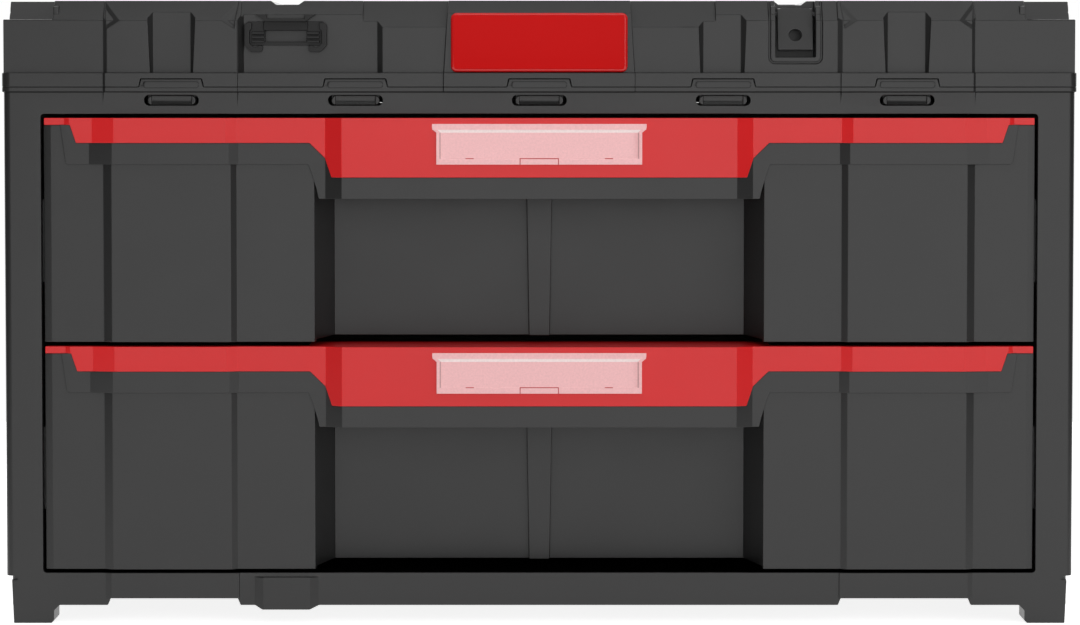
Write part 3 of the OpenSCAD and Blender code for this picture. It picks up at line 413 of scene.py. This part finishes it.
def finish_for(slot):
    """The material of one of the record's slots, made when first asked for."""
    name = slot + "_finish"
    if name in bpy.data.materials:
        return bpy.data.materials[name]
    finish = bpy.context.scene.tool_box_finish
    made = {
        "body_plastic": lambda: grained_plastic(name, tuple(finish.body)),
        "lid_plastic": lambda: grained_plastic(name, tuple(finish.body)),
        "fitting_plastic": lambda: grained_plastic(name, tuple(finish.fitting)),
        "drawer_plastic": lambda: grained_plastic(name, tuple(finish.drawer)),
        "handle_plastic": lambda: grained_plastic(name, tuple(finish.handle)),
        "badge_plastic": lambda: grained_plastic(
            name, tuple(finish.badge), wear=0.02, gloss=finish.film
        ),
        "window_plastic": lambda: clear_plastic(name, tuple(finish.window)),
        "card_paper": lambda: paper(name, tuple(finish.card)),
        "slide_steel": lambda: coated_steel(name, tuple(finish.slide)),
        "fastener_steel": lambda: plated_steel(name, tuple(finish.steel)),
        "grip_rubber": lambda: soft_rubber(name, tuple(finish.rubber)),
    }
    return made[slot]()


# ---- making pieces -----------------------------------------------------------


def put(node, mesh):
    """A new object at the origin, on a node's body and in its slot's material."""
    piece = bpy.data.objects.new(mesh.name, mesh)
    bpy.context.scene.collection.objects.link(piece)
    mesh.materials.clear()
    mesh.materials.append(finish_for(SLOT_OF[node]))
    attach(piece, NODES[node]["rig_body"])
    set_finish(piece, SLOT_OF[node])
    return piece


def sheet_mesh(name, grid, closed_u=False, closed_v=False):
    """A mesh of quads over a grid of points [rows, columns, 3], joined round if closed."""
    rows, columns = grid.shape[:2]
    index = np.arange(rows * columns).reshape(rows, columns)
    if closed_u:
        index = np.vstack([index, index[:1]])
    if closed_v:
        index = np.hstack([index, index[:, :1]])
    faces = np.stack(
        [index[:-1, :-1], index[:-1, 1:], index[1:, 1:], index[1:, :-1]], axis=-1
    ).reshape(-1, 4)
    mesh = bpy.data.meshes.new(name)
    mesh.from_pydata(grid.reshape(-1, 3), [], faces.tolist())
    mesh.validate()
    return mesh


def closed(mesh, weld=1e-7):
    """Merges points that coincide, which closes seams and poles, and turns faces outwards."""
    work = bmesh.new()
    work.from_mesh(mesh)
    bmesh.ops.remove_doubles(work, verts=work.verts, dist=weld)
    bmesh.ops.dissolve_degenerate(work, edges=work.edges, dist=weld / 10)
    bmesh.ops.recalc_face_normals(work, faces=work.faces)
    work.to_mesh(mesh)
    work.free()
    return mesh


def stand_for(node, mesh, bend=SHARP_BEND):
    """A surface worked out here takes a node's place, body and material."""
    shade(closed(mesh), bend)
    piece = put(node, mesh)
    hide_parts(node)
    return piece


def second_finish(piece, material, chosen):
    """Gives a second material to the faces that a test of middle and normal picks."""
    piece.data.materials.append(material)
    for face in piece.data.polygons:
        if chosen(face.center, face.normal):
            face.material_index = len(piece.data.materials) - 1


def round_rectangle(half_x, half_z, corner, arc=9, run=12):
    """A rectangle with round corners, as rows of x and z walked once round.

    Each corner is a quarter circle about its own centre, and straight runs of
    evenly spaced points join the end of one to the start of the next.
    """
    turn = np.linspace(0, np.pi / 2, arc)
    quarters = [
        np.array([sx * (half_x - corner), sz * (half_z - corner)])
        + corner * np.stack([np.cos(turn + k * np.pi / 2), np.sin(turn + k * np.pi / 2)], -1)
        for k, (sx, sz) in enumerate(((1, 1), (-1, 1), (-1, -1), (1, -1)))
    ]
    way = np.linspace(0, 1, run)[1:-1, None]
    runs = [a[-1] * (1 - way) + b[0] * way for a, b in zip(quarters, quarters[1:] + quarters[:1])]
    return np.vstack([part for pair in zip(quarters, runs) for part in pair])


def crowned_plate(name, low, high, corner, rim, crown, arc=9, run=12):
    """A plate between two corners with a crowned front and a full rim.

    Rings run from the middle of the back to the middle of the front. At the
    rim a ring at angle a is inset by rim (1 - cos a) and lies rim (1 - sin a)
    behind the front. The front falls back by z squared over twice the crown's
    radius, in proportion to how far a ring stands off the back.
    """
    middle, half = (low + high) / 2, (high - low) / 2
    deep = high[1] - low[1]
    turn = np.linspace(0, np.pi / 2, arc)
    inset = rim * (1 - np.cos(turn))
    rings = [round_rectangle(half[0] - i, half[2] - i, corner - i) for i in inset]
    depth = rim * (1 - np.sin(turn))
    inwards = np.linspace(1, 0, run)
    outline = np.stack(
        [rings[0] * s for s in inwards[::-1]] + rings + [rings[-1] * s for s in inwards[1:]]
    )
    behind = np.concatenate([np.full(len(inwards), deep), depth, np.zeros(len(inwards) - 1)])
    behind = np.broadcast_to(behind[:, None], outline.shape[:2])
    fall = outline[:, :, 1] ** 2 / (2 * crown) * (1 - behind / deep)
    grid = np.stack(
        [middle[0] + outline[:, :, 0], low[1] + behind + fall, middle[2] + outline[:, :, 1]], -1
    )
    return sheet_mesh(name, grid, closed_v=True)


def ribbed_sleeve(name, low, high, bore, collar, ribs, rib, per_rib=12, facets=72):
    """A tube turned about X: plain rounded collars at its ends and ribs between.

    Between the collars the radius is that of the barrel plus the rib's height
    times the fourth power of the cosine of the place along the tube, so each
    rib is narrow and the valleys are wide. A collar starts with a steep step and
    ends in a quarter round of a fifth of its length. The bore closes the profile.
    """
    middle, half = (low + high) / 2, (high - low) / 2
    barrel = half[2] - 2 * rib
    reach = half[0] - collar
    x = np.linspace(-reach, reach, per_rib * ribs + 1)
    wavy = barrel + rib * np.cos(np.pi * ribs * x / (2 * reach)) ** 4
    turn = np.linspace(0, np.pi / 2, 6)
    edge = collar / 5
    step = reach + np.array([0.05, 1.0, 3.0]) * edge
    ends = np.concatenate([step, half[0] - edge * (1 - np.sin(turn))])
    collar_r = np.concatenate([[barrel + rib], [half[2]] * 2, half[2] - edge * (1 - np.cos(turn))])
    along = np.concatenate([-ends[::-1], x, ends, [half[0], -half[0]]])
    radius = np.concatenate([collar_r[::-1], wavy, collar_r, [bore, bore]])
    around = np.linspace(0, 2 * np.pi, facets + 1)[:-1]
    grid = np.stack(
        [
            np.broadcast_to(along[:, None], (len(along), len(around))) + middle[0],
            middle[1] + radius[:, None] * np.cos(around),
            middle[2] + radius[:, None] * np.sin(around),
        ],
        -1,
    )
    return sheet_mesh(name, grid, closed_u=True, closed_v=True)


def ramp(value, at, soft=GROOVE_EDGE):
    """0 well below a place, 1 well above it, and straight between."""
    return np.clip((value - at) / soft + 0.5, 0, 1)


def within(value, low, high):
    """1 between two places and 0 outside them, with straight ramps at both."""
    return ramp(value, low) * ramp(-value, -high)


def stations(low, high, marks, count=15):
    """Evenly spaced places, with a pair of them at the foot and crest of each mark."""
    pairs = [mark + way * GROOVE_EDGE / 2 for mark in marks for way in (-1, 1)]
    return np.unique(np.clip(np.concatenate([np.linspace(low, high, count), pairs]), low, high))


def both_sides(middle, away):
    """Two places, one on each side of a middle."""
    return [middle - away, middle + away]


def label_window(name, low, high, sizes):
    """The label window: a slab whose front is a height field over x and z.

    The half width widens at the lip. The lip lies behind the frame, a chamfer
    joins it to the pane, and the pane lies a little behind the frame at its
    sides and foot. A narrow groove draws the tab at the foot, and two short
    slots stand beside it. The depth at a place is that of its deepest form, and
    each form has straight ramps at its edges.
    """
    lip_z = high[2] - sizes.window_lip
    foot_z = low[2] + sizes.window_foot
    pane_edge = high[0] - sizes.window_lip_side
    spread = high[0] / pane_edge  # places across are given before the pane is narrowed
    side_x = (pane_edge - sizes.window_frame) * spread
    tab_x, slot_x = sizes.window_tab * spread, sizes.window_slot_place * spread
    slot_half, line_half = sizes.window_slot / 2, sizes.window_line / 2
    x_marks = both_sides(side_x, PANE_SIDE_MARK)
    x_marks += both_sides(tab_x, line_half) + both_sides(slot_x, slot_half)
    z_marks = both_sides(foot_z, line_half)
    z_marks += [low[2] + FOOT_MARK, lip_z, lip_z - sizes.window_chamfer, foot_z]
    x = stations(-high[0], high[0], x_marks + [-mark for mark in x_marks])
    z = stations(low[2], high[2], z_marks)
    narrow = sizes.window_lip_side * ramp(-z, LIP_TAPER_DROP - lip_z, LIP_TAPER)
    wide = 1 - narrow / high[0]
    xx, zz = np.meshgrid(x, z)
    away = np.abs(xx)
    pane = ramp(-away, -side_x, PANE_SIDE_EDGE) * ramp(zz, foot_z, PANE_FOOT_EDGE)
    lip = ramp(zz, lip_z - sizes.window_chamfer / 2, sizes.window_chamfer)
    across_foot = within(zz, foot_z - line_half, foot_z + line_half)
    sides = within(away, tab_x - line_half, tab_x + line_half) * ramp(-zz, -foot_z)
    top = ramp(-away, -(tab_x + line_half)) * across_foot
    slot = within(away, slot_x - slot_half, slot_x + slot_half) * across_foot
    forms = (PANE_DEPTH * pane, LIP_DEPTH * lip, *(GROOVE_DEPTH * form for form in (sides, top, slot)))
    depth = np.max(forms, axis=0)
    front = np.stack([xx * wide[:, None], low[1] + depth, zz], -1)
    back = front.copy()
    back[:, :, 1] = high[1]
    loop = np.concatenate([front, back[:, ::-1]], axis=1)
    ends = [np.concatenate([row, row[::-1]])[None] for row in (back[0], back[-1])]
    return sheet_mesh(name, np.concatenate([ends[0], loop, ends[1]]), closed_v=True)


def shade(mesh, bend):
    """Smooth shading with sharp edges kept where faces meet at more than a bend in degrees."""
    mesh.polygons.foreach_set("use_smooth", np.ones(len(mesh.polygons), bool))
    mesh.set_sharp_from_angle(angle=math.radians(bend))


def settle(mesh, skin, radius, rounds=7, stray=0.8):
    """Tidies a rounded moulding against the skin that it was rounded from.

    Points that the rounding threw clear are drawn back to the skin beside their
    neighbours, and faces that it turned over are closed up along their shortest
    edges. Flaps and lone edges that this leaves are taken out. A point counts as
    thrown clear when it lies further off the skin than that share of the radius.
    """
    work = bmesh.new()
    work.from_mesh(mesh)
    clear = [point for point in work.verts if skin.find_nearest(point.co)[3] > stray * radius]
    loose = set(clear)
    for point in clear:
        beside = [edge.other_vert(point) for edge in point.link_edges]
        calm = [other.co for other in beside if other not in loose]
        middle = sum(calm, Vector()) / len(calm) if calm else point.co
        point.co = skin.find_nearest(middle)[0]
    bmesh.ops.triangulate(work, faces=[face for face in work.faces if len(face.verts) > 4])
    for _ in range(rounds):
        work.normal_update()
        turned = [
            face
            for face in work.faces
            if skin.find_nearest(face.calc_center_median())[1].dot(face.normal) < 0
        ]
        shortest = {min(face.edges, key=lambda edge: edge.calc_length()) for face in turned}
        shortest = [edge for edge in shortest if edge.calc_length() < 2 * radius]
        bmesh.ops.collapse(work, edges=shortest)
        bmesh.ops.dissolve_degenerate(work, edges=work.edges, dist=1e-7)
        if not shortest:
            break
    for _ in range(rounds):
        rims = [edge for edge in work.edges if len(edge.link_faces) == 1]
        flaps = {face for edge in rims for face in edge.link_faces}
        bmesh.ops.delete(work, geom=list(flaps), context="FACES")
    lone = [edge for edge in work.edges if not edge.link_faces]
    bmesh.ops.delete(work, geom=lone, context="EDGES")
    work.to_mesh(mesh)
    work.free()


def rounded_copy(node, radius, weld=2e-6, flat=0.5):
    """A copy of a node, welded and with its edges rounded, that stands for the node.

    Points closer than the weld are joined, and faces that bend by fewer degrees than
    flat become one, so that only real edges are rounded.
    """
    mesh = NODES[node].data.copy()
    mesh.name = node + "_moulding"
    work = bmesh.new()
    work.from_mesh(mesh)
    bmesh.ops.remove_doubles(work, verts=work.verts, dist=weld)
    bmesh.ops.dissolve_limit(
        work, angle_limit=math.radians(flat), verts=work.verts, edges=work.edges
    )
    bmesh.ops.triangulate(work, faces=work.faces)
    skin = BVHTree.FromBMesh(work)
    work.to_mesh(mesh)
    work.free()
    if "custom_normal" in mesh.attributes:
        mesh.attributes.remove(mesh.attributes["custom_normal"])
    piece = put(node, mesh)
    bevel = piece.modifiers.new("Edges", "BEVEL")
    bevel.width = radius
    bevel.segments = 2
    bevel.limit_method = "ANGLE"
    bevel.angle_limit = math.radians(ROUNDED_BEND)
    bevel.use_clamp_overlap = False
    bevel.loop_slide = False
    bevel.miter_outer = "MITER_ARC"
    graph = bpy.context.evaluated_depsgraph_get()
    rounded = bpy.data.meshes.new_from_object(
        piece.evaluated_get(graph), preserve_all_data_layers=True, depsgraph=graph
    )
    settle(rounded, skin, radius)
    piece.modifiers.remove(bevel)
    piece.data = rounded
    rounded.name = node + "_rounded"
    shade(rounded, SHARP_BEND)
    even = piece.modifiers.new("Even flat faces", "WEIGHTED_NORMAL")
    even.keep_sharp = True
    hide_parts(node)
    return piece


def dress(node):
    """Gives a node that keeps its own mesh its material."""
    mesh = NODES[node].data
    mesh.materials.clear()
    mesh.materials.append(finish_for(SLOT_OF[node]))
    NODES[node]["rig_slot"] = SLOT_OF[node]


# ---- operators ---------------------------------------------------------------


class TOOLBOX_OT_body(bpy.types.Operator):
    """Rounds the edges of the carcass, gives it its grain and paints shade on the rounded edges along
    the seam under the lid
    """

    bl_idname = "toolbox.body"
    bl_label = "Body"

    def execute(self, context):
        finish = context.scene.tool_box_finish
        # Painted shade: a dark, dull material on the rounded edges along the seam under the lid,
        # standing in for the gap's shade
        seam = grained_plastic("rim_seam_painted_shade", tuple(finish.seam), gloss=finish.seam_shade_gloss)
        piece = rounded_copy("carcass", context.scene.tool_box_sizes.edge)
        second_finish(piece, seam, self.on_painted_seam_shade)
        return {"FINISHED"}

    @staticmethod
    def on_painted_seam_shade(middle, normal):
        """Whether a face is one of the rounded edges along the seam under the lid, which take the
        painted shade.
        """
        level = max(abs(normal.x), abs(normal.y))
        inside = RIM_SEAM[0] < middle.z < RIM_SEAM[1]
        return inside and abs(normal.z) > SEAM_SHADE_LEAN and SEAM_SHADE_LEVEL[0] < level < SEAM_SHADE_LEVEL[1]


class TOOLBOX_OT_lid(bpy.types.Operator):
    """Rounds the edges of the lid and gives it its grain"""

    bl_idname = "toolbox.lid"
    bl_label = "Lid"

    def execute(self, context):
        rounded_copy("top_cover", context.scene.tool_box_sizes.edge)
        return {"FINISHED"}


class TOOLBOX_OT_badge(bpy.types.Operator):
    """Makes the bare crowned badge"""

    bl_idname = "toolbox.badge"
    bl_label = "Badge"

    def execute(self, context):
        sizes = context.scene.tool_box_sizes
        finish = context.scene.tool_box_finish
        badge = stand_for(
            "badge_plate",
            crowned_plate(
                "badge_plate_crowned",
                *place("badge_plate"),
                sizes.badge_corner,
                sizes.badge_rim,
                sizes.badge_crown,
            ),
        )
        rim = grained_plastic("badge_rim_finish", tuple(finish.badge), 0.1, 0.02, finish.rim_gloss)
        second_finish(badge, rim, self.on_rim)
        return {"FINISHED"}

    @staticmethod
    def on_rim(middle, normal):
        """Whether a face turns away from the badge's matt front."""
        return normal.y > -BADGE_FRONT


class TOOLBOX_OT_fittings(bpy.types.Operator):
    """Rounds the catch, the lock lever and the side latches, and colours the catch dark as painted
    shade
    """

    bl_idname = "toolbox.fittings"
    bl_label = "Catch, lock and latches"

    def execute(self, context):
        finish = context.scene.tool_box_finish
        fine = context.scene.tool_box_sizes.fine_edge
        # Painted shade: the catch gets a darker, duller copy of the moulded plastic in place of the
        # shade of its gaps
        painted_shade_catch = grained_plastic("catch_painted_shade_finish", tuple(finish.catch), gloss=finish.catch_shade_gloss)
        rounded_copy("stacking_catch", fine).data.materials[0] = painted_shade_catch
        # The lever and latches take the fittings' colour, which is lightened as painted light
        for node in ("lock_lever", "left_latch", "right_latch"):
            rounded_copy(node, fine)
        return {"FINISHED"}


class TOOLBOX_OT_carry_handle(bpy.types.Operator):
    """Rounds the carry handle and wraps its grip in ribbed rubber"""

    bl_idname = "toolbox.carry_handle"
    bl_label = "Carry handle"

    def execute(self, context):
        sizes = context.scene.tool_box_sizes
        rounded_copy("carry_handle", sizes.edge)
        stand_for(
            "carry_grip",
            ribbed_sleeve(
                "carry_grip_ribbed",
                *place("carry_grip"),
                GRIP_BORE,
                GRIP_COLLAR,
                sizes.ribs,
                sizes.grip_rib,
            ),
        )
        return {"FINISHED"}


class TOOLBOX_OT_drawers(bpy.types.Operator):
    """Rounds the trays, the grey handle edges and the red strips"""

    bl_idname = "toolbox.drawers"
    bl_label = "Drawers"

    def execute(self, context):
        sizes = context.scene.tool_box_sizes
        for level in LEVELS:
            rounded_copy(level + "_tray", sizes.edge)
            rounded_copy(level + "_handle_bracket", sizes.fine_edge)
            rounded_copy(level + "_handle_cover", sizes.fine_edge)
        return {"FINISHED"}


class TOOLBOX_OT_labels(bpy.types.Operator):
    """Makes the clear label windows, with a painted highlight on their chamfer and painted shade on
    their side steps, and their cards
    """

    bl_idname = "toolbox.labels"
    bl_label = "Labels"

    def execute(self, context):
        sizes = context.scene.tool_box_sizes
        finish = context.scene.tool_box_finish
        # Painted highlight on the up-facing chamfer, and painted shade on the side steps that face
        # sideways
        chamfer = clear_plastic("window_chamfer_painted_highlight", tuple(finish.chamfer))
        step = clear_plastic("window_step_painted_shade", tuple(finish.step))
        for level in LEVELS:
            node = level + "_label_window"
            low, high = place(node)
            foot = low[2] + sizes.window_foot + PANE_FOOT_EDGE
            side = high[0] - sizes.window_lip_side - sizes.window_frame
            slots_end = sizes.window_slot_place + sizes.window_slot

            # Faces turned upwards under the lip, which take the painted highlight
            def on_painted_highlight(middle, normal):
                return normal.z > TURNED and middle.z > foot and abs(middle.x) < side

            # Faces turned sideways at the pane's edges, which take the painted shade
            def on_painted_shade_step(middle, normal):
                return TURNED < abs(normal.x) < SQUARE and normal.y < -TURNED

            def in_groove(middle, normal):
                deep = low[1] + GROOVE_DEPTH / 2 < middle.y < high[1] - GROOVE_EDGE
                near = middle.z < foot and abs(middle.x) < slots_end
                return deep and near and abs(normal.z) < SQUARE

            window = label_window(node + "_framed", low, high, sizes)
            piece = stand_for(node, window, WINDOW_SHARP_BEND)
            second_finish(piece, chamfer, on_painted_highlight)
            second_finish(piece, step, on_painted_shade_step)
            second_finish(piece, finish_for("handle_plastic"), in_groove)
            dress(level + "_label_card")
        return {"FINISHED"}


class TOOLBOX_OT_metal(bpy.types.Operator):
    """Coats the slides and the lever's pin and spring black, and plates the other fasteners"""

    bl_idname = "toolbox.metal"
    bl_label = "Metal parts"

    def execute(self, context):
        for node, slot in SLOT_OF.items():
            if slot.endswith("_steel"):
                dress(node)
        for node in ("lock_pin", "lock_spring"):
            NODES[node].data.materials[0] = finish_for("slide_steel")
        return {"FINISHED"}


def lamp(name, radiance, size, azimuth, elevation, distance):
    """A soft rectangular lamp of an even radiance, where 1 is white.

    It looks at the box's middle from a distance, so many degrees round to the
    right of the front and so many above the level.
    """
    data = bpy.data.lights.new(name, "AREA")
    data.shape = "RECTANGLE"
    data.size, data.size_y = size
    data.energy = radiance * math.pi * size[0] * size[1]
    lit = bpy.data.objects.new(name, data)
    bpy.context.scene.collection.objects.link(lit)
    side, up = math.radians(azimuth), math.radians(elevation)
    away = Vector((math.sin(side) * math.cos(up), -math.cos(side) * math.cos(up), math.sin(up)))
    lit.location = Vector(BOX_MIDDLE) + distance * away
    lit.rotation_euler = away.to_track_quat("Z", "Y").to_euler()


def seen_directly(graph):
    """1 for rays from the camera, from gloss and through glass, otherwise 0."""
    path = graph.add("ShaderNodeLightPath").outputs
    seen = graph.larger(path["Is Camera Ray"], path["Is Glossy Ray"])
    return graph.larger(seen, path["Is Transmission Ray"])


class TOOLBOX_OT_stage(bpy.types.Operator):
    """Sets up the pale floor, the white surround, the lamps and the camera"""

    bl_idname = "toolbox.stage"
    bl_label = "Stage"

    def execute(self, context):
        stage = context.scene.tool_box_stage
        self.floor(stage.floor_white)
        self.surround(stage.sky)
        for name, strength, *stand in LAMPS:
            lamp(name, getattr(stage, strength), *stand)
        self.camera(stage)
        context.scene.view_settings.view_transform = "Standard"
        return {"FINISHED"}

    def camera(self, stage):
        """A camera before the box, level across and looking down by the pitch."""
        data = bpy.data.cameras.new("camera")
        data.lens = stage.lens
        data.sensor_width = SENSOR
        camera = bpy.data.objects.new("camera", data)
        bpy.context.scene.collection.objects.link(camera)
        camera.location = (stage.aside, FACE_Y - stage.distance, stage.height)
        camera.rotation_euler = (math.pi / 2 - stage.pitch, 0, 0)
        bpy.context.scene.camera = camera

    def floor(self, white):
        """A table top, white where it isn't shaded, on a grid of two by two points."""
        across, along = np.array(FLOOR_X), np.array(FLOOR_Y)
        grid = np.stack(np.broadcast_arrays(across[None, :], along[:, None], 0.0), -1)
        mesh = sheet_mesh("floor", grid)
        made = Finish("floor_white")
        made.to("Base Color", made.tone((0.82, 0.82, 0.82), made.spread(made.noise(3.0), 0.99, 1.01)))
        made.to("Roughness", 0.9)
        made.to("Specular IOR Level", 0.0)
        made.to("Emission Color", (1, 1, 1, 1))
        made.to("Emission Strength", made.times(seen_directly(made), white))
        mesh.materials.append(made.material)
        floor = bpy.data.objects.new("floor", mesh)
        bpy.context.scene.collection.objects.link(floor)

    def surround(self, strength):
        """Even light from all round, before a white backdrop that camera, gloss and glass see.

        Gloss sees the backdrop where it stands, behind the box, and a dim studio
        on the camera's side. The Y part of a ray's direction tells where the backdrop
        begins and from where on it is full.
        """
        world = bpy.data.worlds.new("studio")
        bpy.context.scene.world = world
        world.use_nodes = True
        graph = Graph(world.node_tree)
        ground = graph.tree.nodes["Background"]
        ground.inputs["Color"].default_value = (1, 1, 1, 1)
        path = graph.add("ShaderNodeLightPath").outputs
        ray = graph.add("ShaderNodeTexCoord").outputs["Generated"]
        back = graph.add("ShaderNodeSeparateXYZ", Vector=ray).outputs["Y"]
        dim, begins, full = 0.05, 0.45, 0.8
        backdrop = graph.spread(back, dim, 1.0, begins, full)
        level = graph.add("ShaderNodeMix", Factor=path["Is Glossy Ray"], A=strength, B=backdrop)
        direct = graph.larger(path["Is Camera Ray"], path["Is Transmission Ray"])
        seen = graph.add("ShaderNodeMix", Factor=direct, A=level.outputs["Result"], B=1.0)
        graph.tree.links.new(seen.outputs["Result"], ground.inputs["Strength"])


OPERATORS = (
    TOOLBOX_OT_stage,
    TOOLBOX_OT_body,
    TOOLBOX_OT_lid,
    TOOLBOX_OT_badge,
    TOOLBOX_OT_fittings,
    TOOLBOX_OT_carry_handle,
    TOOLBOX_OT_drawers,
    TOOLBOX_OT_labels,
    TOOLBOX_OT_metal,
)


GROUPS = {
    "tool_box_finish": ToolBoxFinish,
    "tool_box_sizes": ToolBoxSizes,
    "tool_box_stage": ToolBoxStage,
}


class TOOLBOX_PT_panel(bpy.types.Panel):
    """Lists the tool box's pieces, sizes and colours"""

    bl_label = "Tool Box"
    bl_idname = "TOOLBOX_PT_panel"
    bl_space_type = "VIEW_3D"
    bl_region_type = "UI"
    bl_category = "Tool Box"

    def draw(self, context):
        for operator in OPERATORS:
            self.layout.operator(operator.bl_idname)
        for group in GROUPS:
            values = getattr(context.scene, group)
            for name in values.__annotations__:
                self.layout.prop(values, name)


def register():
    """Registers the classes and hangs the property groups on the scene."""
    for group, kind in GROUPS.items():
        bpy.utils.register_class(kind)
        setattr(bpy.types.Scene, group, PointerProperty(type=kind))
    for kind in (*OPERATORS, TOOLBOX_PT_panel):
        bpy.utils.register_class(kind)


def unregister():
    """Takes back what register() added."""
    for kind in (TOOLBOX_PT_panel, *reversed(OPERATORS)):
        bpy.utils.unregister_class(kind)
    for group, kind in GROUPS.items():
        delattr(bpy.types.Scene, group)
        bpy.utils.unregister_class(kind)


def main():
    register()
    for operator in OPERATORS:
        group, name = operator.bl_idname.split(".")
        getattr(getattr(bpy.ops, group), name)()


if __name__ == "__main__":
    main()
